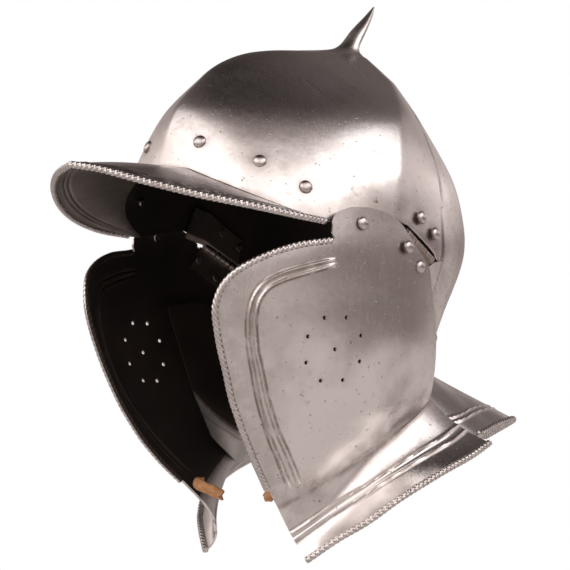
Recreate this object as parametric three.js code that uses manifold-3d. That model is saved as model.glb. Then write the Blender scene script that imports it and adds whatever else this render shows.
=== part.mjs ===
// Burgonet of polished steel: an open helmet with a ridged and spiked skull, a peak over the brow,
// a flared neck lame and two hinged cheek pieces with flared lower flanges.
// Millimetres. +X is the wearer's left, -Y the front, +Z up.
// The origin is on the inside of the crown, where the top of the head sits.
import * as THREE from 'three';
import { mergeVertices } from 'three/addons/utils/BufferGeometryUtils.js';
import Module from 'manifold-3d';

// Driving dimensions
const skullWidth = 197;
const skullFront = 118;
const skullBack = 140;
const skullHeight = 200;
const spikeHeight = 37;
const skullWall = 1.4;
const peakReach = 78;
const peakWall = 1.4;
const peakBow = 1.5;
const cheekDrop = 190;
const cheekReach = 121;
const cheekWall = 1.4;
const flangeSag = 1.5;
const napeWall = 1.3;
const napeReach = 198;
const ropeRadius = 2.3;
const clearance = 0.3;
const knuckleRadius = 2.9;
const pinRadius = 1.3;
const leafWall = 1.3;
const leafWidth = 18;
const leafStep = 1.1;
const hingeDrop = 4.6;
const hingeInset = 1.2;
const rivetHead = 4.5;
const rivetRise = 2.6;
const rivetShank = 1.8;
const rivetBurr = 2.9;
const burrHeight = 0.9;
const rosetteRadius = 21.5;
const rosetteHole = 1.35;
const strapWidth = 8.5;
const strapThickness = 2.4;
const leftStrap = 9;
const rightStrap = 22;
const leftOpen = 5;
const rightOpen = 1;

const halfWidth = skullWidth / 2;
const crownTop = skullWall;

// Skull sections from the neck to the tip of the spike.
// drop: share of skullHeight below the crown; rise: share of spikeHeight above it;
// wide, middle, fore, aft: shares of halfWidth, skullBack, skullFront, skullBack;
// full: how square the section is; ridge: how far its four corners stand out.
const skullRows = [
  { drop: 1.133, rise: 0, wide: 0.736, middle: 0.02, fore: 0.78, aft: 0.73, full: 0.02, ridge: 0.00 },
  { drop: 1.018, rise: 0, wide: 0.832, middle: 0.02, fore: 0.85, aft: 0.74, full: 0.02, ridge: 0.00 },
  { drop: 0.893, rise: 0, wide: 0.924, middle: 0.02, fore: 0.93, aft: 0.78, full: 0.04, ridge: 0.01 },
  { drop: 0.708, rise: 0, wide: 1.000, middle: 0.02, fore: 0.98, aft: 0.90, full: 0.06, ridge: 0.02 },
  { drop: 0.588, rise: 0, wide: 1.000, middle: 0.025, fore: 1.00, aft: 0.92, full: 0.06, ridge: 0.03 },
  { drop: 0.428, rise: 0, wide: 0.954, middle: 0.10, fore: 1.06, aft: 0.77, full: 0.04, ridge: 0.05 },
  { drop: 0.253, rise: 0, wide: 0.79, middle: 0.22, fore: 1.10, aft: 0.48, full: 0.01, ridge: 0.07 },
  { drop: 0.124, rise: 0, wide: 0.508, middle: 0.375, fore: 1.068, aft: 0.24, full: 0.00, ridge: 0.08 },
  { drop: 0.074, rise: 0, wide: 0.365, middle: 0.405, fore: 0.975, aft: 0.166, full: 0.00, ridge: 0.08 },
  { drop: 0.0345, rise: 0, wide: 0.249, middle: 0.418, fore: 0.81, aft: 0.118, full: 0.00, ridge: 0.07 },
  { drop: 0.0125, rise: 0, wide: 0.167, middle: 0.425, fore: 0.623, aft: 0.082, full: 0.00, ridge: 0.06 },
  { drop: 0.0, rise: 0.0, wide: 0.122, middle: 0.429, fore: 0.407, aft: 0.061, full: 0.00, ridge: 0.05 },
  { drop: 0.0, rise: 0.106, wide: 0.087, middle: 0.439, fore: 0.14, aft: 0.05, full: 0.00, ridge: 0.04 },
  { drop: 0.0, rise: 0.231, wide: 0.07, middle: 0.459, fore: 0.064, aft: 0.045, full: 0.00, ridge: 0.03 },
  { drop: 0.0, rise: 0.524, wide: 0.053, middle: 0.518, fore: 0.045, aft: 0.037, full: 0.00, ridge: 0.03 },
  { drop: 0.0, rise: 0.823, wide: 0.027, middle: 0.573, fore: 0.023, aft: 0.019, full: 0.00, ridge: 0.02 },
  { drop: 0.0, rise: 1.0, wide: 0.006, middle: 0.607, fore: 0.005, aft: 0.004, full: 0.00, ridge: 0.00 },
];

// Lower edge of the skull: turn in degrees from the front ridge, drop as a share of skullHeight.
// The first rows are the fold where the peak springs out, then come the arch over the ear, the
// hinge line and the step down behind it to the neck.
const rimRows = [
  { turn: 0, drop: 0.4265 },
  { turn: 14, drop: 0.442 },
  { turn: 29, drop: 0.4935 },
  { turn: 43, drop: 0.545 },
  { turn: 55, drop: 0.5885 },
  { turn: 63, drop: 0.6185 },
  { turn: 75, drop: 0.6035 },
  { turn: 86, drop: 0.575 },
  { turn: 92, drop: 0.588 },
  { turn: 95, drop: 0.600 },
  { turn: 109, drop: 0.700 },
  { turn: 113, drop: 0.722 },
  { turn: 115, drop: 0.930 },
  { turn: 135, drop: 0.975 },
  { turn: 160, drop: 0.995 },
  { turn: 180, drop: 1.0 },
];

// Columns of the skull in degrees from the front ridge: a column on each ridge and on the step
const skullTurns = [0, 12, 24, 35, 45, 54, 63, 74, 86, 95, 104, 113, 115, 126, 139, 153, 167, 180];

// Outer edge of the peak. side: share of halfWidth; ahead: share of peakReach in front of the
// brow's front; drop: share of skullHeight.
const peakRows = [
  { side: 0.00, ahead: 0.955, drop: 0.4455 },
  { side: 0.22, ahead: 0.865, drop: 0.466 },
  { side: 0.44, ahead: 0.67, drop: 0.503 },
  { side: 0.68, ahead: 0.34, drop: 0.545 },
  { side: 0.87, ahead: -0.02, drop: 0.577 },
  { side: 0.965, ahead: -0.38, drop: 0.601 },
  { side: 0.965, ahead: -0.70, drop: 0.613 },
];

// Cheek tube, the surface that both cheek pieces follow when shut, from the lobe to the chin.
// drop: share of cheekDrop below the top of the lobe; wide, fore, aft: shares as in skullRows.
const tubeRows = [
  { drop: 0.00, wide: 1.028, fore: 1.03, aft: 0.95, full: 0.06 },
  { drop: 0.14, wide: 1.022, fore: 1.25, aft: 0.95, full: 0.03 },
  { drop: 0.31, wide: 0.992, fore: 1.31, aft: 0.89, full: 0.00 },
  { drop: 0.485, wide: 0.950, fore: 1.20, aft: 0.76, full: 0.00 },
  { drop: 0.63, wide: 0.850, fore: 1.09, aft: 0.70, full: 0.00 },
  { drop: 0.725, wide: 0.722, fore: 1.03, aft: 0.67, full: 0.00 },
  { drop: 0.78, wide: 0.655, fore: 0.98, aft: 0.66, full: 0.00 },
  { drop: 0.86, wide: 0.552, fore: 0.863, aft: 0.65, full: 0.00 },
  { drop: 0.928, wide: 0.469, fore: 0.713, aft: 0.64, full: 0.00 },
  { drop: 1.00, wide: 0.405, fore: 0.55, aft: 0.63, full: 0.00 },
];

// Outline of a cheek piece in side view, shut. frontY, rearY: shares of cheekReach, from the
// side ridge; front, rear: shares of cheekDrop below the top of the lobe.
const cheekRows = [
  { frontY: -0.30, front: 0.000, rearY: -0.18, rear: 0.000 },
  { frontY: -0.39, front: 0.018, rearY: -0.04, rear: 0.018 },
  { frontY: -0.425, front: 0.052, rearY: 0.06, rear: 0.052 },
  { frontY: -0.435, front: 0.088, rearY: 0.125, rear: 0.092 },
  { frontY: -0.44, front: 0.112, rearY: 0.19, rear: 0.125 },
  { frontY: -0.64, front: 0.130, rearY: 0.26, rear: 0.160 },
  { frontY: -0.82, front: 0.168, rearY: 0.33, rear: 0.205 },
  { frontY: -0.955, front: 0.225, rearY: 0.35, rear: 0.270 },
  { frontY: -1.006, front: 0.310, rearY: 0.375, rear: 0.330 },
  { frontY: -0.985, front: 0.400, rearY: 0.41, rear: 0.400 },
  { frontY: -0.92, front: 0.520, rearY: 0.445, rear: 0.470 },
  { frontY: -0.82, front: 0.660, rearY: 0.485, rear: 0.530 },
  { frontY: -0.645, front: 0.820, rearY: 0.535, rear: 0.590 },
  { frontY: -0.40, front: 0.978, rearY: 0.586, rear: 0.624 },
];

// Lower edge of the flange of a cheek piece, shut. t: place along the crease, 0 at the chin;
// side, behind, fall: shares of halfWidth, cheekReach and cheekDrop, fall from the top of the lobe.
const flangeRows = [
  { t: 0.00, side: 0.386, behind: -0.282, fall: 1.171 },
  { t: 0.22, side: 0.568, behind: -0.185, fall: 1.105 },
  { t: 0.40, side: 0.725, behind: -0.079, fall: 1.053 },
  { t: 0.57, side: 0.855, behind: 0.062, fall: 0.984 },
  { t: 0.77, side: 0.944, behind: 0.328, fall: 0.904 },
  { t: 0.91, side: 0.968, behind: 0.576, fall: 0.845 },
  { t: 1.00, side: 0.954, behind: 0.743, fall: 0.801 },
];

// Nape plate. turn: degrees from the front ridge; top: share of skullHeight;
// neckSide, neck, crease: its crease; side, behind, edge: the edge of its flare, as shares of
// halfWidth, napeReach and skullHeight.
const napeRows = [
  { turn: 72, top: 0.86, neckSide: 0.67, neck: -0.15, crease: 1.124, side: 0.59, behind: -0.09, edge: 1.285 },
  { turn: 81, top: 0.85, neckSide: 0.58, neck: -0.05, crease: 1.23, side: 0.57, behind: -0.02, edge: 1.345 },
  { turn: 90, top: 0.84, neckSide: 0.53, neck: 0.055, crease: 1.285, side: 0.63, behind: 0.075, edge: 1.385 },
  { turn: 105, top: 0.87, neckSide: 0.595, neck: 0.185, crease: 1.24, side: 0.765, behind: 0.21, edge: 1.355 },
  { turn: 115, top: 0.915, neckSide: 0.575, neck: 0.295, crease: 1.18, side: 0.83, behind: 0.325, edge: 1.328 },
  { turn: 124, top: 0.9, neckSide: 0.55, neck: 0.385, crease: 1.133, side: 0.862, behind: 0.43, edge: 1.305 },
  { turn: 135, top: 0.89, neckSide: 0.47, neck: 0.455, crease: 1.105, side: 0.865, behind: 0.5, edge: 1.29 },
  { turn: 146, top: 0.91, neckSide: 0.38, neck: 0.505, crease: 1.085, side: 0.8, behind: 0.6, edge: 1.27 },
  { turn: 157, top: 0.925, neckSide: 0.26, neck: 0.54, crease: 1.072, side: 0.69, behind: 0.745, edge: 1.253 },
  { turn: 168, top: 0.935, neckSide: 0.13, neck: 0.56, crease: 1.065, side: 0.43, behind: 0.9, edge: 1.26 },
  { turn: 180, top: 0.935, neckSide: 0, neck: 0.57, crease: 1.06, side: 0, behind: 1, edge: 1.315 },
];

// Rivets over the brow: turn in degrees from the front ridge, drop as a share of skullHeight
const browRivets = [
  { turn: 16.8, drop: 0.3565 },
  { turn: 40.6, drop: 0.4235 },
  { turn: 56.4, drop: 0.507 },
];

// Rivets of a hinge. along: share of the hinge line; away: share of leafWidth above the line on
// the skull's leaf, below it on the cheek's.
const hingeRivets = [
  { leaf: 'skull', along: 0.19, away: 0.772 },
  { leaf: 'skull', along: 0.70, away: 0.761 },
  { leaf: 'cheek', along: 0.07, away: 0.722 },
  { leaf: 'cheek', along: 0.60, away: 0.828 },
];

function smooth(rows, place, at) {
  const last = rows.length - 1;
  const places = rows.map(place);
  let i = 0;
  while (i < last - 1 && at > places[i + 1]) i += 1;
  const span = places[i + 1] - places[i];
  const t = THREE.MathUtils.clamp((at - places[i]) / span, 0, 1);
  const result = {};
  for (const key of Object.keys(rows[0])) {
    const slope = (n) => {
      const before = Math.max(n - 1, 0);
      const after = Math.min(n + 1, last);
      return (rows[after][key] - rows[before][key]) / (places[after] - places[before]);
    };
    const a = rows[i][key];
    const b = rows[i + 1][key];
    const m0 = slope(i) * span;
    const m1 = slope(i + 1) * span;
    const t2 = t * t;
    const t3 = t2 * t;
    result[key] = (2 * t3 - 3 * t2 + 1) * a + (t3 - 2 * t2 + t) * m0
      + (3 * t2 - 2 * t3) * b + (t3 - t2) * m1;
  }
  return result;
}

// Path along the skull rows, so that the flat crown and the spike are both evenly stepped
const skullPath = [0];
for (let i = 1; i < skullRows.length; i += 1) {
  const a = skullRows[i - 1];
  const b = skullRows[i];
  const fall = (a.drop - b.drop) * skullHeight + (b.rise - a.rise) * spikeHeight;
  const inward = (a.wide - b.wide) * halfWidth;
  const forward = (a.fore - b.fore) * skullFront;
  skullPath.push(skullPath[i - 1] + Math.hypot(fall, inward, forward));
}
const pathPlace = (row) => skullPath[skullRows.indexOf(row)];
const pathEnd = skullPath[skullPath.length - 1];
const rowHeight = (row) => crownTop - row.drop * skullHeight + row.rise * spikeHeight;

function sectionPoint(row, angle) {
  const s = Math.sin(angle);
  const c = Math.cos(angle);
  const corner = Math.abs(Math.sin(2 * angle));
  const swell = 1 + row.full * corner * corner - row.ridge * corner;
  const depth = c > 0 ? -row.fore * skullFront : -row.aft * skullBack;
  const middle = row.middle * skullBack;
  return new THREE.Vector3(s * swell * row.wide * halfWidth, middle + c * swell * depth, rowHeight(row));
}

function skullPoint(angle, path, inset) {
  const row = smooth(skullRows, pathPlace, path);
  const point = sectionPoint(row, angle);
  if (!inset) return point;
  const step = 0.01;
  const near = path > pathEnd - 2 ? -2 : 2;
  const along = sectionPoint(smooth(skullRows, pathPlace, path + near), angle).sub(point);
  const round = sectionPoint(row, angle + step).sub(sectionPoint(row, angle - step));
  const normal = round.cross(along).normalize();
  if (near < 0) normal.negate();
  return point.addScaledVector(normal, -inset);
}

function pathAtHeight(z) {
  let low = 0;
  let high = pathEnd;
  for (let i = 0; i < 40; i += 1) {
    const mid = (low + high) / 2;
    if (rowHeight(smooth(skullRows, pathPlace, mid)) < z) low = mid;
    else high = mid;
  }
  return (low + high) / 2;
}

const rad = THREE.MathUtils.degToRad;

function rimHeight(angle) {
  const turn = Math.abs(THREE.MathUtils.radToDeg(angle));
  return crownTop - smooth(rimRows, (row) => row.turn, turn).drop * skullHeight;
}

// Closed meshes
function solid(points, faces) {
  const geometry = new THREE.BufferGeometry();
  geometry.setAttribute('position', new THREE.Float32BufferAttribute(points.flatMap((p) => p.toArray()), 3));
  geometry.setIndex(faces.flat());
  return geometry;
}

function volume(geometry) {
  const p = geometry.getAttribute('position');
  const index = geometry.getIndex().array;
  const a = new THREE.Vector3();
  const b = new THREE.Vector3();
  const c = new THREE.Vector3();
  let sum = 0;
  for (let i = 0; i < index.length; i += 3) {
    a.fromBufferAttribute(p, index[i]);
    b.fromBufferAttribute(p, index[i + 1]);
    c.fromBufferAttribute(p, index[i + 2]);
    sum += a.dot(b.cross(c));
  }
  return sum;
}

function outward(geometry) {
  if (volume(geometry) > 0) return geometry;
  const index = geometry.getIndex().array;
  for (let i = 0; i < index.length; i += 3) {
    const held = index[i + 1];
    index[i + 1] = index[i + 2];
    index[i + 2] = held;
  }
  return geometry;
}

// A plate from a grid of points on its outer face, thickened towards the inside
function plate(grid, thickness, side = 1) {
  const columns = grid.length;
  const rows = grid[0].length;
  const points = grid.flat();
  const normal = (i, j) => {
    const a = grid[Math.min(i + 1, columns - 1)][j].clone().sub(grid[Math.max(i - 1, 0)][j]);
    const b = grid[i][Math.min(j + 1, rows - 1)].clone().sub(grid[i][Math.max(j - 1, 0)]);
    return a.cross(b).normalize().multiplyScalar(side);
  };
  const inner = [];
  for (let i = 0; i < columns; i += 1) {
    for (let j = 0; j < rows; j += 1) {
      inner.push(grid[i][j].clone().addScaledVector(normal(i, j), -thickness));
    }
  }
  const total = columns * rows;
  const outer = (i, j) => i * rows + j;
  const faces = [];
  const quad = (a, b, c, d) => faces.push([a, b, c], [a, c, d]);
  for (let i = 0; i < columns - 1; i += 1) {
    for (let j = 0; j < rows - 1; j += 1) {
      quad(outer(i, j), outer(i + 1, j), outer(i + 1, j + 1), outer(i, j + 1));
      quad(total + outer(i, j), total + outer(i, j + 1), total + outer(i + 1, j + 1), total + outer(i + 1, j));
    }
  }
  const edge = (a, b) => quad(a, total + a, total + b, b);
  for (let i = 0; i < columns - 1; i += 1) {
    edge(outer(i, 0), outer(i + 1, 0));
    edge(outer(i + 1, rows - 1), outer(i, rows - 1));
  }
  for (let j = 0; j < rows - 1; j += 1) {
    edge(outer(columns - 1, j), outer(columns - 1, j + 1));
    edge(outer(0, j + 1), outer(0, j));
  }
  return outward(solid([...points, ...inner], faces));
}

function rope(points, radius, steps, sides = 5) {
  const ring = new THREE.Shape();
  for (let i = 0; i < sides; i += 1) {
    const a = (i / sides) * Math.PI * 2;
    if (i) ring.lineTo(radius * Math.cos(a), radius * Math.sin(a));
    else ring.moveTo(radius, 0);
  }
  const path = new THREE.CatmullRomCurve3(points);
  return new THREE.ExtrudeGeometry(ring, { steps, bevelEnabled: false, extrudePath: path });
}

// Joins and cuts
const wasm = await Module();
wasm.setup();

function toManifold(geometry) {
  const bare = geometry.clone();
  bare.deleteAttribute('normal');
  bare.deleteAttribute('uv');
  const merged = mergeVertices(bare, 1e-4);
  const vertProperties = new Float32Array(merged.getAttribute('position').array);
  const triVerts = new Uint32Array(merged.getIndex().array);
  return new wasm.Manifold(new wasm.Mesh({ numProp: 3, vertProperties, triVerts }));
}

function toGeometry(manifold) {
  const mesh = manifold.getMesh();
  const geometry = new THREE.BufferGeometry();
  geometry.setAttribute('position', new THREE.BufferAttribute(mesh.vertProperties, 3));
  geometry.setIndex(new THREE.BufferAttribute(mesh.triVerts, 1));
  return geometry;
}

function join(...pieces) {
  return toGeometry(pieces.map(toManifold).reduce((a, b) => a.add(b)));
}

function cut(piece, ...tools) {
  return toGeometry(tools.map(toManifold).reduce((a, b) => a.subtract(b), toManifold(piece)));
}

function mirror(geometry) {
  const copy = geometry.clone();
  copy.applyMatrix4(new THREE.Matrix4().makeScale(-1, 1, 1));
  return outward(copy.index ? copy : mergeVertices(copy));
}

// Skull shell: outer rows to the tip of the spike, inner rows to the crown under it
function makeSkullShell() {
  const outerRows = 15;
  const innerRows = 7;
  const crownPath = pathAtHeight(crownTop - 0.02 * skullHeight);
  const points = [];
  const faces = [];
  const quad = (a, b, c, d) => faces.push([a, b, c], [a, c, d]);
  const turns = [...skullTurns, ...skullTurns.slice(1, -1).reverse().map((turn) => -turn)];
  const columns = turns.length;
  const angleAt = (i) => rad(turns[i % columns]);
  const start = (i) => pathAtHeight(rimHeight(angleAt(i)));
  for (let i = 0; i < columns; i += 1) {
    const low = start(i);
    for (let j = 0; j < outerRows; j += 1) {
      points.push(skullPoint(angleAt(i), THREE.MathUtils.lerp(low, pathEnd, j / outerRows), 0));
    }
    for (let j = 0; j < innerRows; j += 1) {
      const path = THREE.MathUtils.lerp(low, crownPath, j / (innerRows - 1));
      points.push(skullPoint(angleAt(i), path, skullWall));
    }
  }
  const stride = outerRows + innerRows;
  const tip = points.push(skullPoint(0, pathEnd, 0)) - 1;
  const under = skullPoint(Math.PI / 2, crownPath, skullWall);
  const crown = points.push(new THREE.Vector3(0, under.y, under.z + 0.3 * skullWall)) - 1;
  const at = (i, j) => (i % columns) * stride + j;
  for (let i = 0; i < columns; i += 1) {
    for (let j = 0; j < outerRows - 1; j += 1) quad(at(i, j), at(i + 1, j), at(i + 1, j + 1), at(i, j + 1));
    faces.push([at(i, outerRows - 1), at(i + 1, outerRows - 1), tip]);
    for (let j = outerRows; j < stride - 1; j += 1) {
      quad(at(i, j), at(i, j + 1), at(i + 1, j + 1), at(i + 1, j));
    }
    faces.push([at(i, stride - 1), crown, at(i + 1, stride - 1)]);
    quad(at(i, 0), at(i, outerRows), at(i + 1, outerRows), at(i + 1, 0));
  }
  return outward(solid(points, faces));
}

const browFront = skullPoint(0, pathAtHeight(rimHeight(0)), 0).y;

function peakEdge(share) {
  const row = smooth(peakRows, (r) => peakRows.indexOf(r), Math.abs(share) * (peakRows.length - 1));
  const x = Math.sign(share) * row.side * halfWidth;
  return new THREE.Vector3(x, browFront - row.ahead * peakReach, crownTop - row.drop * skullHeight);
}

function makePeak() {
  const columns = 24;
  const rows = 2;
  const grid = [];
  const foldEnd = rad(64);
  for (let i = 0; i <= columns; i += 1) {
    const share = (i / columns) * 2 - 1;
    const angle = share * foldEnd;
    const fold = skullPoint(angle, pathAtHeight(rimHeight(angle)), skullWall / 2);
    const edge = peakEdge(share);
    const column = [];
    for (let j = 0; j <= rows; j += 1) {
      const t = j / rows;
      const point = fold.clone().lerp(edge, t);
      point.z += 4 * t * (1 - t) * peakBow * (1 - share * share);
      column.push(point);
    }
    grid.push(column);
  }
  const line = [];
  for (let i = 0; i <= columns; i += 1) line.push(peakEdge((i / columns) * 2 - 1));
  for (const p of line) p.z -= peakWall / 2;
  return [plate(grid, peakWall, 1), rope(line, ropeRadius, 20)];
}

// Cheek tube
const lobeTop = crownTop - 0.566 * skullHeight;
const tubeMiddle = 0.02 * skullBack;

function tubeX(y, z) {
  const drop = (lobeTop - z) / cheekDrop;
  const row = smooth(tubeRows, (r) => r.drop, THREE.MathUtils.clamp(drop, 0, 1));
  const reach = y < tubeMiddle ? row.fore * skullFront : row.aft * skullBack;
  let low = 0;
  let high = Math.PI / 2;
  const target = Math.abs(y - tubeMiddle) / reach;
  for (let i = 0; i < 30; i += 1) {
    const mid = (low + high) / 2;
    const swell = 1 + row.full * Math.sin(2 * mid) ** 2;
    if (Math.sin(mid) * swell < target) low = mid;
    else high = mid;
  }
  return Math.cos(low) * (1 + row.full * Math.sin(2 * low) ** 2) * row.wide * halfWidth;
}

function cheekPoint(row, t) {
  const y = THREE.MathUtils.lerp(row.frontY, row.rearY, t) * cheekReach;
  const z = lobeTop - THREE.MathUtils.lerp(row.front, row.rear, t) * cheekDrop;
  return new THREE.Vector3(tubeX(y, z), y, z);
}

function cheekNormal(y, z) {
  const step = 0.5;
  const alongY = (tubeX(y + step, z) - tubeX(y - step, z)) / (2 * step);
  const alongZ = (tubeX(y, z + step) - tubeX(y, z - step)) / (2 * step);
  return new THREE.Vector3(1, -alongY, -alongZ).normalize();
}

function cheekInside(y, z, depth) {
  return new THREE.Vector3(tubeX(y, z), y, z).addScaledVector(cheekNormal(y, z), -depth);
}

function flangePoint(t, share) {
  const crease = cheekPoint(cheekRows[cheekRows.length - 1], t);
  const row = smooth(flangeRows, (r) => r.t, t);
  const edge = new THREE.Vector3(row.side * halfWidth, row.behind * cheekReach, lobeTop - row.fall * cheekDrop);
  const point = crease.lerp(edge, share);
  point.z -= 4 * share * (1 - share) * flangeSag;
  return point;
}

function makeCheek() {
  const columns = 10;
  const grid = [];
  for (let i = 0; i <= columns; i += 1) {
    const t = i / columns;
    const column = cheekRows.map((row) => cheekPoint(row, t));
    for (const share of [0.35, 0.7, 1]) column.push(flangePoint(t, share));
    grid.push(column);
  }
  const front = cheekRows.slice(4).map((row) => cheekPoint(row, 0));
  const last = front.length - 1;
  front[last].lerp(front[last - 1], 0.35);
  const bottom = [];
  for (let i = 0; i <= 8; i += 1) bottom.push(flangePoint(i / 8, 1));
  for (const line of [front, bottom]) {
    for (const p of line) p.x -= cheekWall / 2;
  }
  return join(plate(grid, cheekWall, -1), rope(front, ropeRadius, 14), rope(bottom, ropeRadius, 8));
}

// Nape plate: an upright inside the rim of the skull, then a neck and a flare
const napeInset = skullWall + 3.7 * clearance;

function napePoint(turn, share) {
  const row = smooth(napeRows, (r) => r.turn, Math.abs(turn));
  const side = Math.sign(turn) * halfWidth;
  const level = (drop) => crownTop - drop * skullHeight;
  const upright = (drop) => skullPoint(rad(turn), pathAtHeight(level(drop)), napeInset);
  const neck = new THREE.Vector3(side * row.neckSide, row.neck * napeReach, level(row.crease));
  const edge = new THREE.Vector3(side * row.side, row.behind * napeReach, level(row.edge));
  if (share <= 1) return upright(THREE.MathUtils.lerp(row.top, 1, share));
  if (share <= 2) return upright(1).lerp(neck, share - 1);
  return neck.lerp(edge, share - 2);
}

function makeNape() {
  const half = skullTurns.filter((turn) => turn >= 74);
  const turns = [...half, ...half.slice(0, -1).reverse().map((turn) => -turn)];
  const grid = turns.map((turn) => [0, 1, 1.6, 2, 2.3, 2.65, 3].map((share) => napePoint(turn, share)));
  const line = turns.filter((turn) => Math.abs(turn) > 134).map((turn) => napePoint(turn, 3));
  for (const p of line) p.z -= napeWall / 2;
  return join(plate(grid, napeWall, -1), rope(line, ropeRadius, 12));
}

// Materials
const steel = (roughness) => new THREE.MeshStandardMaterial({ color: 0xb9aeab, metalness: 1, roughness });
const polished = steel(0.32);
const filed = steel(0.5);
const leather = new THREE.MeshStandardMaterial({ color: 0x8a5326, metalness: 0, roughness: 0.8 });

const group = new THREE.Group();

function add(name, geometry, material, parent = group) {
  const mesh = new THREE.Mesh(geometry, material.clone());
  mesh.name = name;
  parent.add(mesh);
  return mesh;
}

// Hinge line, from its upper front end to its lower rear end
function sidePoint(turn, lift, inset) {
  const angle = rad(turn);
  return skullPoint(angle, pathAtHeight(rimHeight(angle) + lift), inset);
}
const hingeTop = sidePoint(95.5, -hingeDrop, hingeInset);
const hingeEnd = sidePoint(109, -hingeDrop, hingeInset);
const hingeAxis = hingeEnd.clone().sub(hingeTop).normalize();
const hingeLength = hingeEnd.distanceTo(hingeTop);
const hingeDown = new THREE.Vector3(0, hingeAxis.z, -hingeAxis.y).normalize();

// A bar on the hinge line between two shares of its length
function bar(radius, from, to, sides = 8) {
  const geometry = new THREE.CylinderGeometry(radius, radius, (to - from) * hingeLength, sides);
  geometry.applyQuaternion(new THREE.Quaternion().setFromUnitVectors(new THREE.Vector3(0, 1, 0), hingeAxis));
  const middle = hingeTop.clone().lerp(hingeEnd, (from + to) / 2);
  return geometry.translate(middle.x, middle.y, middle.z);
}

// Bodies that hang from a hinge, opened by some degrees
function hungFrom(degrees, side) {
  const outer = new THREE.Group();
  const inner = new THREE.Group();
  const pivot = hingeTop.clone();
  const axis = hingeAxis.clone();
  pivot.x *= side;
  axis.x *= side;
  outer.position.copy(pivot);
  outer.quaternion.setFromAxisAngle(axis, -side * rad(degrees));
  inner.position.copy(pivot).negate();
  outer.add(inner);
  group.add(outer);
  return inner;
}

const pinBore = bar(pinRadius + clearance, -0.2, 1.2);
// The cheek leaf's knuckle lies between these shares of the hinge line
const knuckleFrom = 0.3;
const knuckleTo = 0.7;
const jointGap = 1.3 * clearance / hingeLength;

function makeSkullLeaf() {
  const grid = [];
  const depth = skullWall + clearance;
  for (const turn of [96, 102.5, 108.8]) {
    const low = turn - 0.8;
    const upper = depth + leafStep;
    grid.push([
      sidePoint(low, -hingeDrop, depth), sidePoint(low, -0.055 * leafWidth, upper),
      sidePoint(turn, 0.972 * leafWidth, upper),
    ]);
  }
  const firstKnuckle = bar(knuckleRadius, 0, knuckleFrom);
  const lastKnuckle = bar(knuckleRadius, knuckleTo, 1);
  const whole = join(plate(grid, leafWall, 1), firstKnuckle, lastKnuckle);
  return cut(whole, bar(knuckleRadius + clearance, knuckleFrom, knuckleTo), pinBore);
}

function hingePlace(along, away) {
  const onAxis = hingeTop.clone().addScaledVector(hingeAxis, along * hingeLength);
  return onAxis.addScaledVector(hingeDown, away * leafWidth);
}

function makeCheekLeaf() {
  const grid = [];
  for (let i = 0; i < 4; i += 1) {
    const places = [0.105, 0.555, 1.055].map((away) => hingePlace(-0.06 + i / 3, away));
    grid.push(places.map((p) => cheekInside(p.y, p.z, cheekWall + 2.2 * clearance)));
  }
  const from = knuckleFrom + jointGap;
  const to = knuckleTo - jointGap;
  const whole = join(plate(grid, leafWall, -1), bar(knuckleRadius, from, to));
  const roomBefore = bar(knuckleRadius + clearance, -0.2, from);
  const roomAfter = bar(knuckleRadius + clearance, to, 1.2);
  return cut(whole, roomBefore, roomAfter, pinBore);
}

// A turned solid about +Y from [radius, height] pairs that start and end on the axis
function turned(profile, sides) {
  const points = [new THREE.Vector3(0, profile[0][1], 0)];
  const rings = profile.slice(1, -1);
  for (const [radius, height] of rings) {
    for (let i = 0; i < sides; i += 1) {
      const a = (i / sides) * Math.PI * 2;
      points.push(new THREE.Vector3(radius * Math.cos(a), height, radius * Math.sin(a)));
    }
  }
  const end = points.push(new THREE.Vector3(0, profile[profile.length - 1][1], 0)) - 1;
  const at = (ring, i) => 1 + ring * sides + (i % sides);
  const faces = [];
  for (let i = 0; i < sides; i += 1) {
    faces.push([0, at(0, i), at(0, i + 1)]);
    for (let k = 0; k < rings.length - 1; k += 1) {
      faces.push([at(k, i), at(k + 1, i), at(k + 1, i + 1)], [at(k, i), at(k + 1, i + 1), at(k, i + 1)]);
    }
    faces.push([end, at(rings.length - 1, i + 1), at(rings.length - 1, i)]);
  }
  return outward(solid(points, faces));
}

function drill(radius, reach, sides) {
  return turned([[0, reach], [radius, reach], [radius, -reach], [0, -reach]], sides);
}

function frameAt(point, normal) {
  const up = new THREE.Vector3(0, 0, 1).addScaledVector(normal, -normal.z).normalize();
  const across = normal.clone().cross(up);
  return new THREE.Matrix4().makeBasis(across, normal, up).setPosition(point);
}

// Where a line along a normal first meets a solid, from outside or from inside
function meet(geometry, point, normal, side) {
  const mesh = new THREE.Mesh(geometry, new THREE.MeshStandardMaterial({ side: THREE.DoubleSide }));
  const from = point.clone().addScaledVector(normal, 25 * side);
  const ray = new THREE.Raycaster(from, normal.clone().multiplyScalar(-side));
  return ray.intersectObject(mesh)[0];
}

// A rivet through the outer and inner sheets given, with the drill for its holes
const rivetSides = 6;

function makeRivet(outer, inner, point, guess) {
  const hit = meet(outer, point, guess, 1);
  const normal = hit.face.normal.clone().lerp(guess, 0.5).normalize();
  const grip = hit.point.clone().sub(meet(inner, hit.point, normal, -1).point).dot(normal);
  const seat = 1.7 * clearance;
  const burr = -(grip + 3 * clearance);
  const body = turned([
    [0, seat + rivetRise], [rivetHead * 0.68, seat + rivetRise * 0.68], [rivetHead, seat], [rivetShank, seat],
    [rivetShank, burr], [rivetBurr, burr], [rivetBurr * 0.6, burr - burrHeight], [0, burr - burrHeight],
  ], rivetSides);
  const frame = frameAt(hit.point, normal);
  return {
    body: body.applyMatrix4(frame),
    hole: drill(rivetShank + clearance, 8, rivetSides).applyMatrix4(frame),
  };
}

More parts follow.
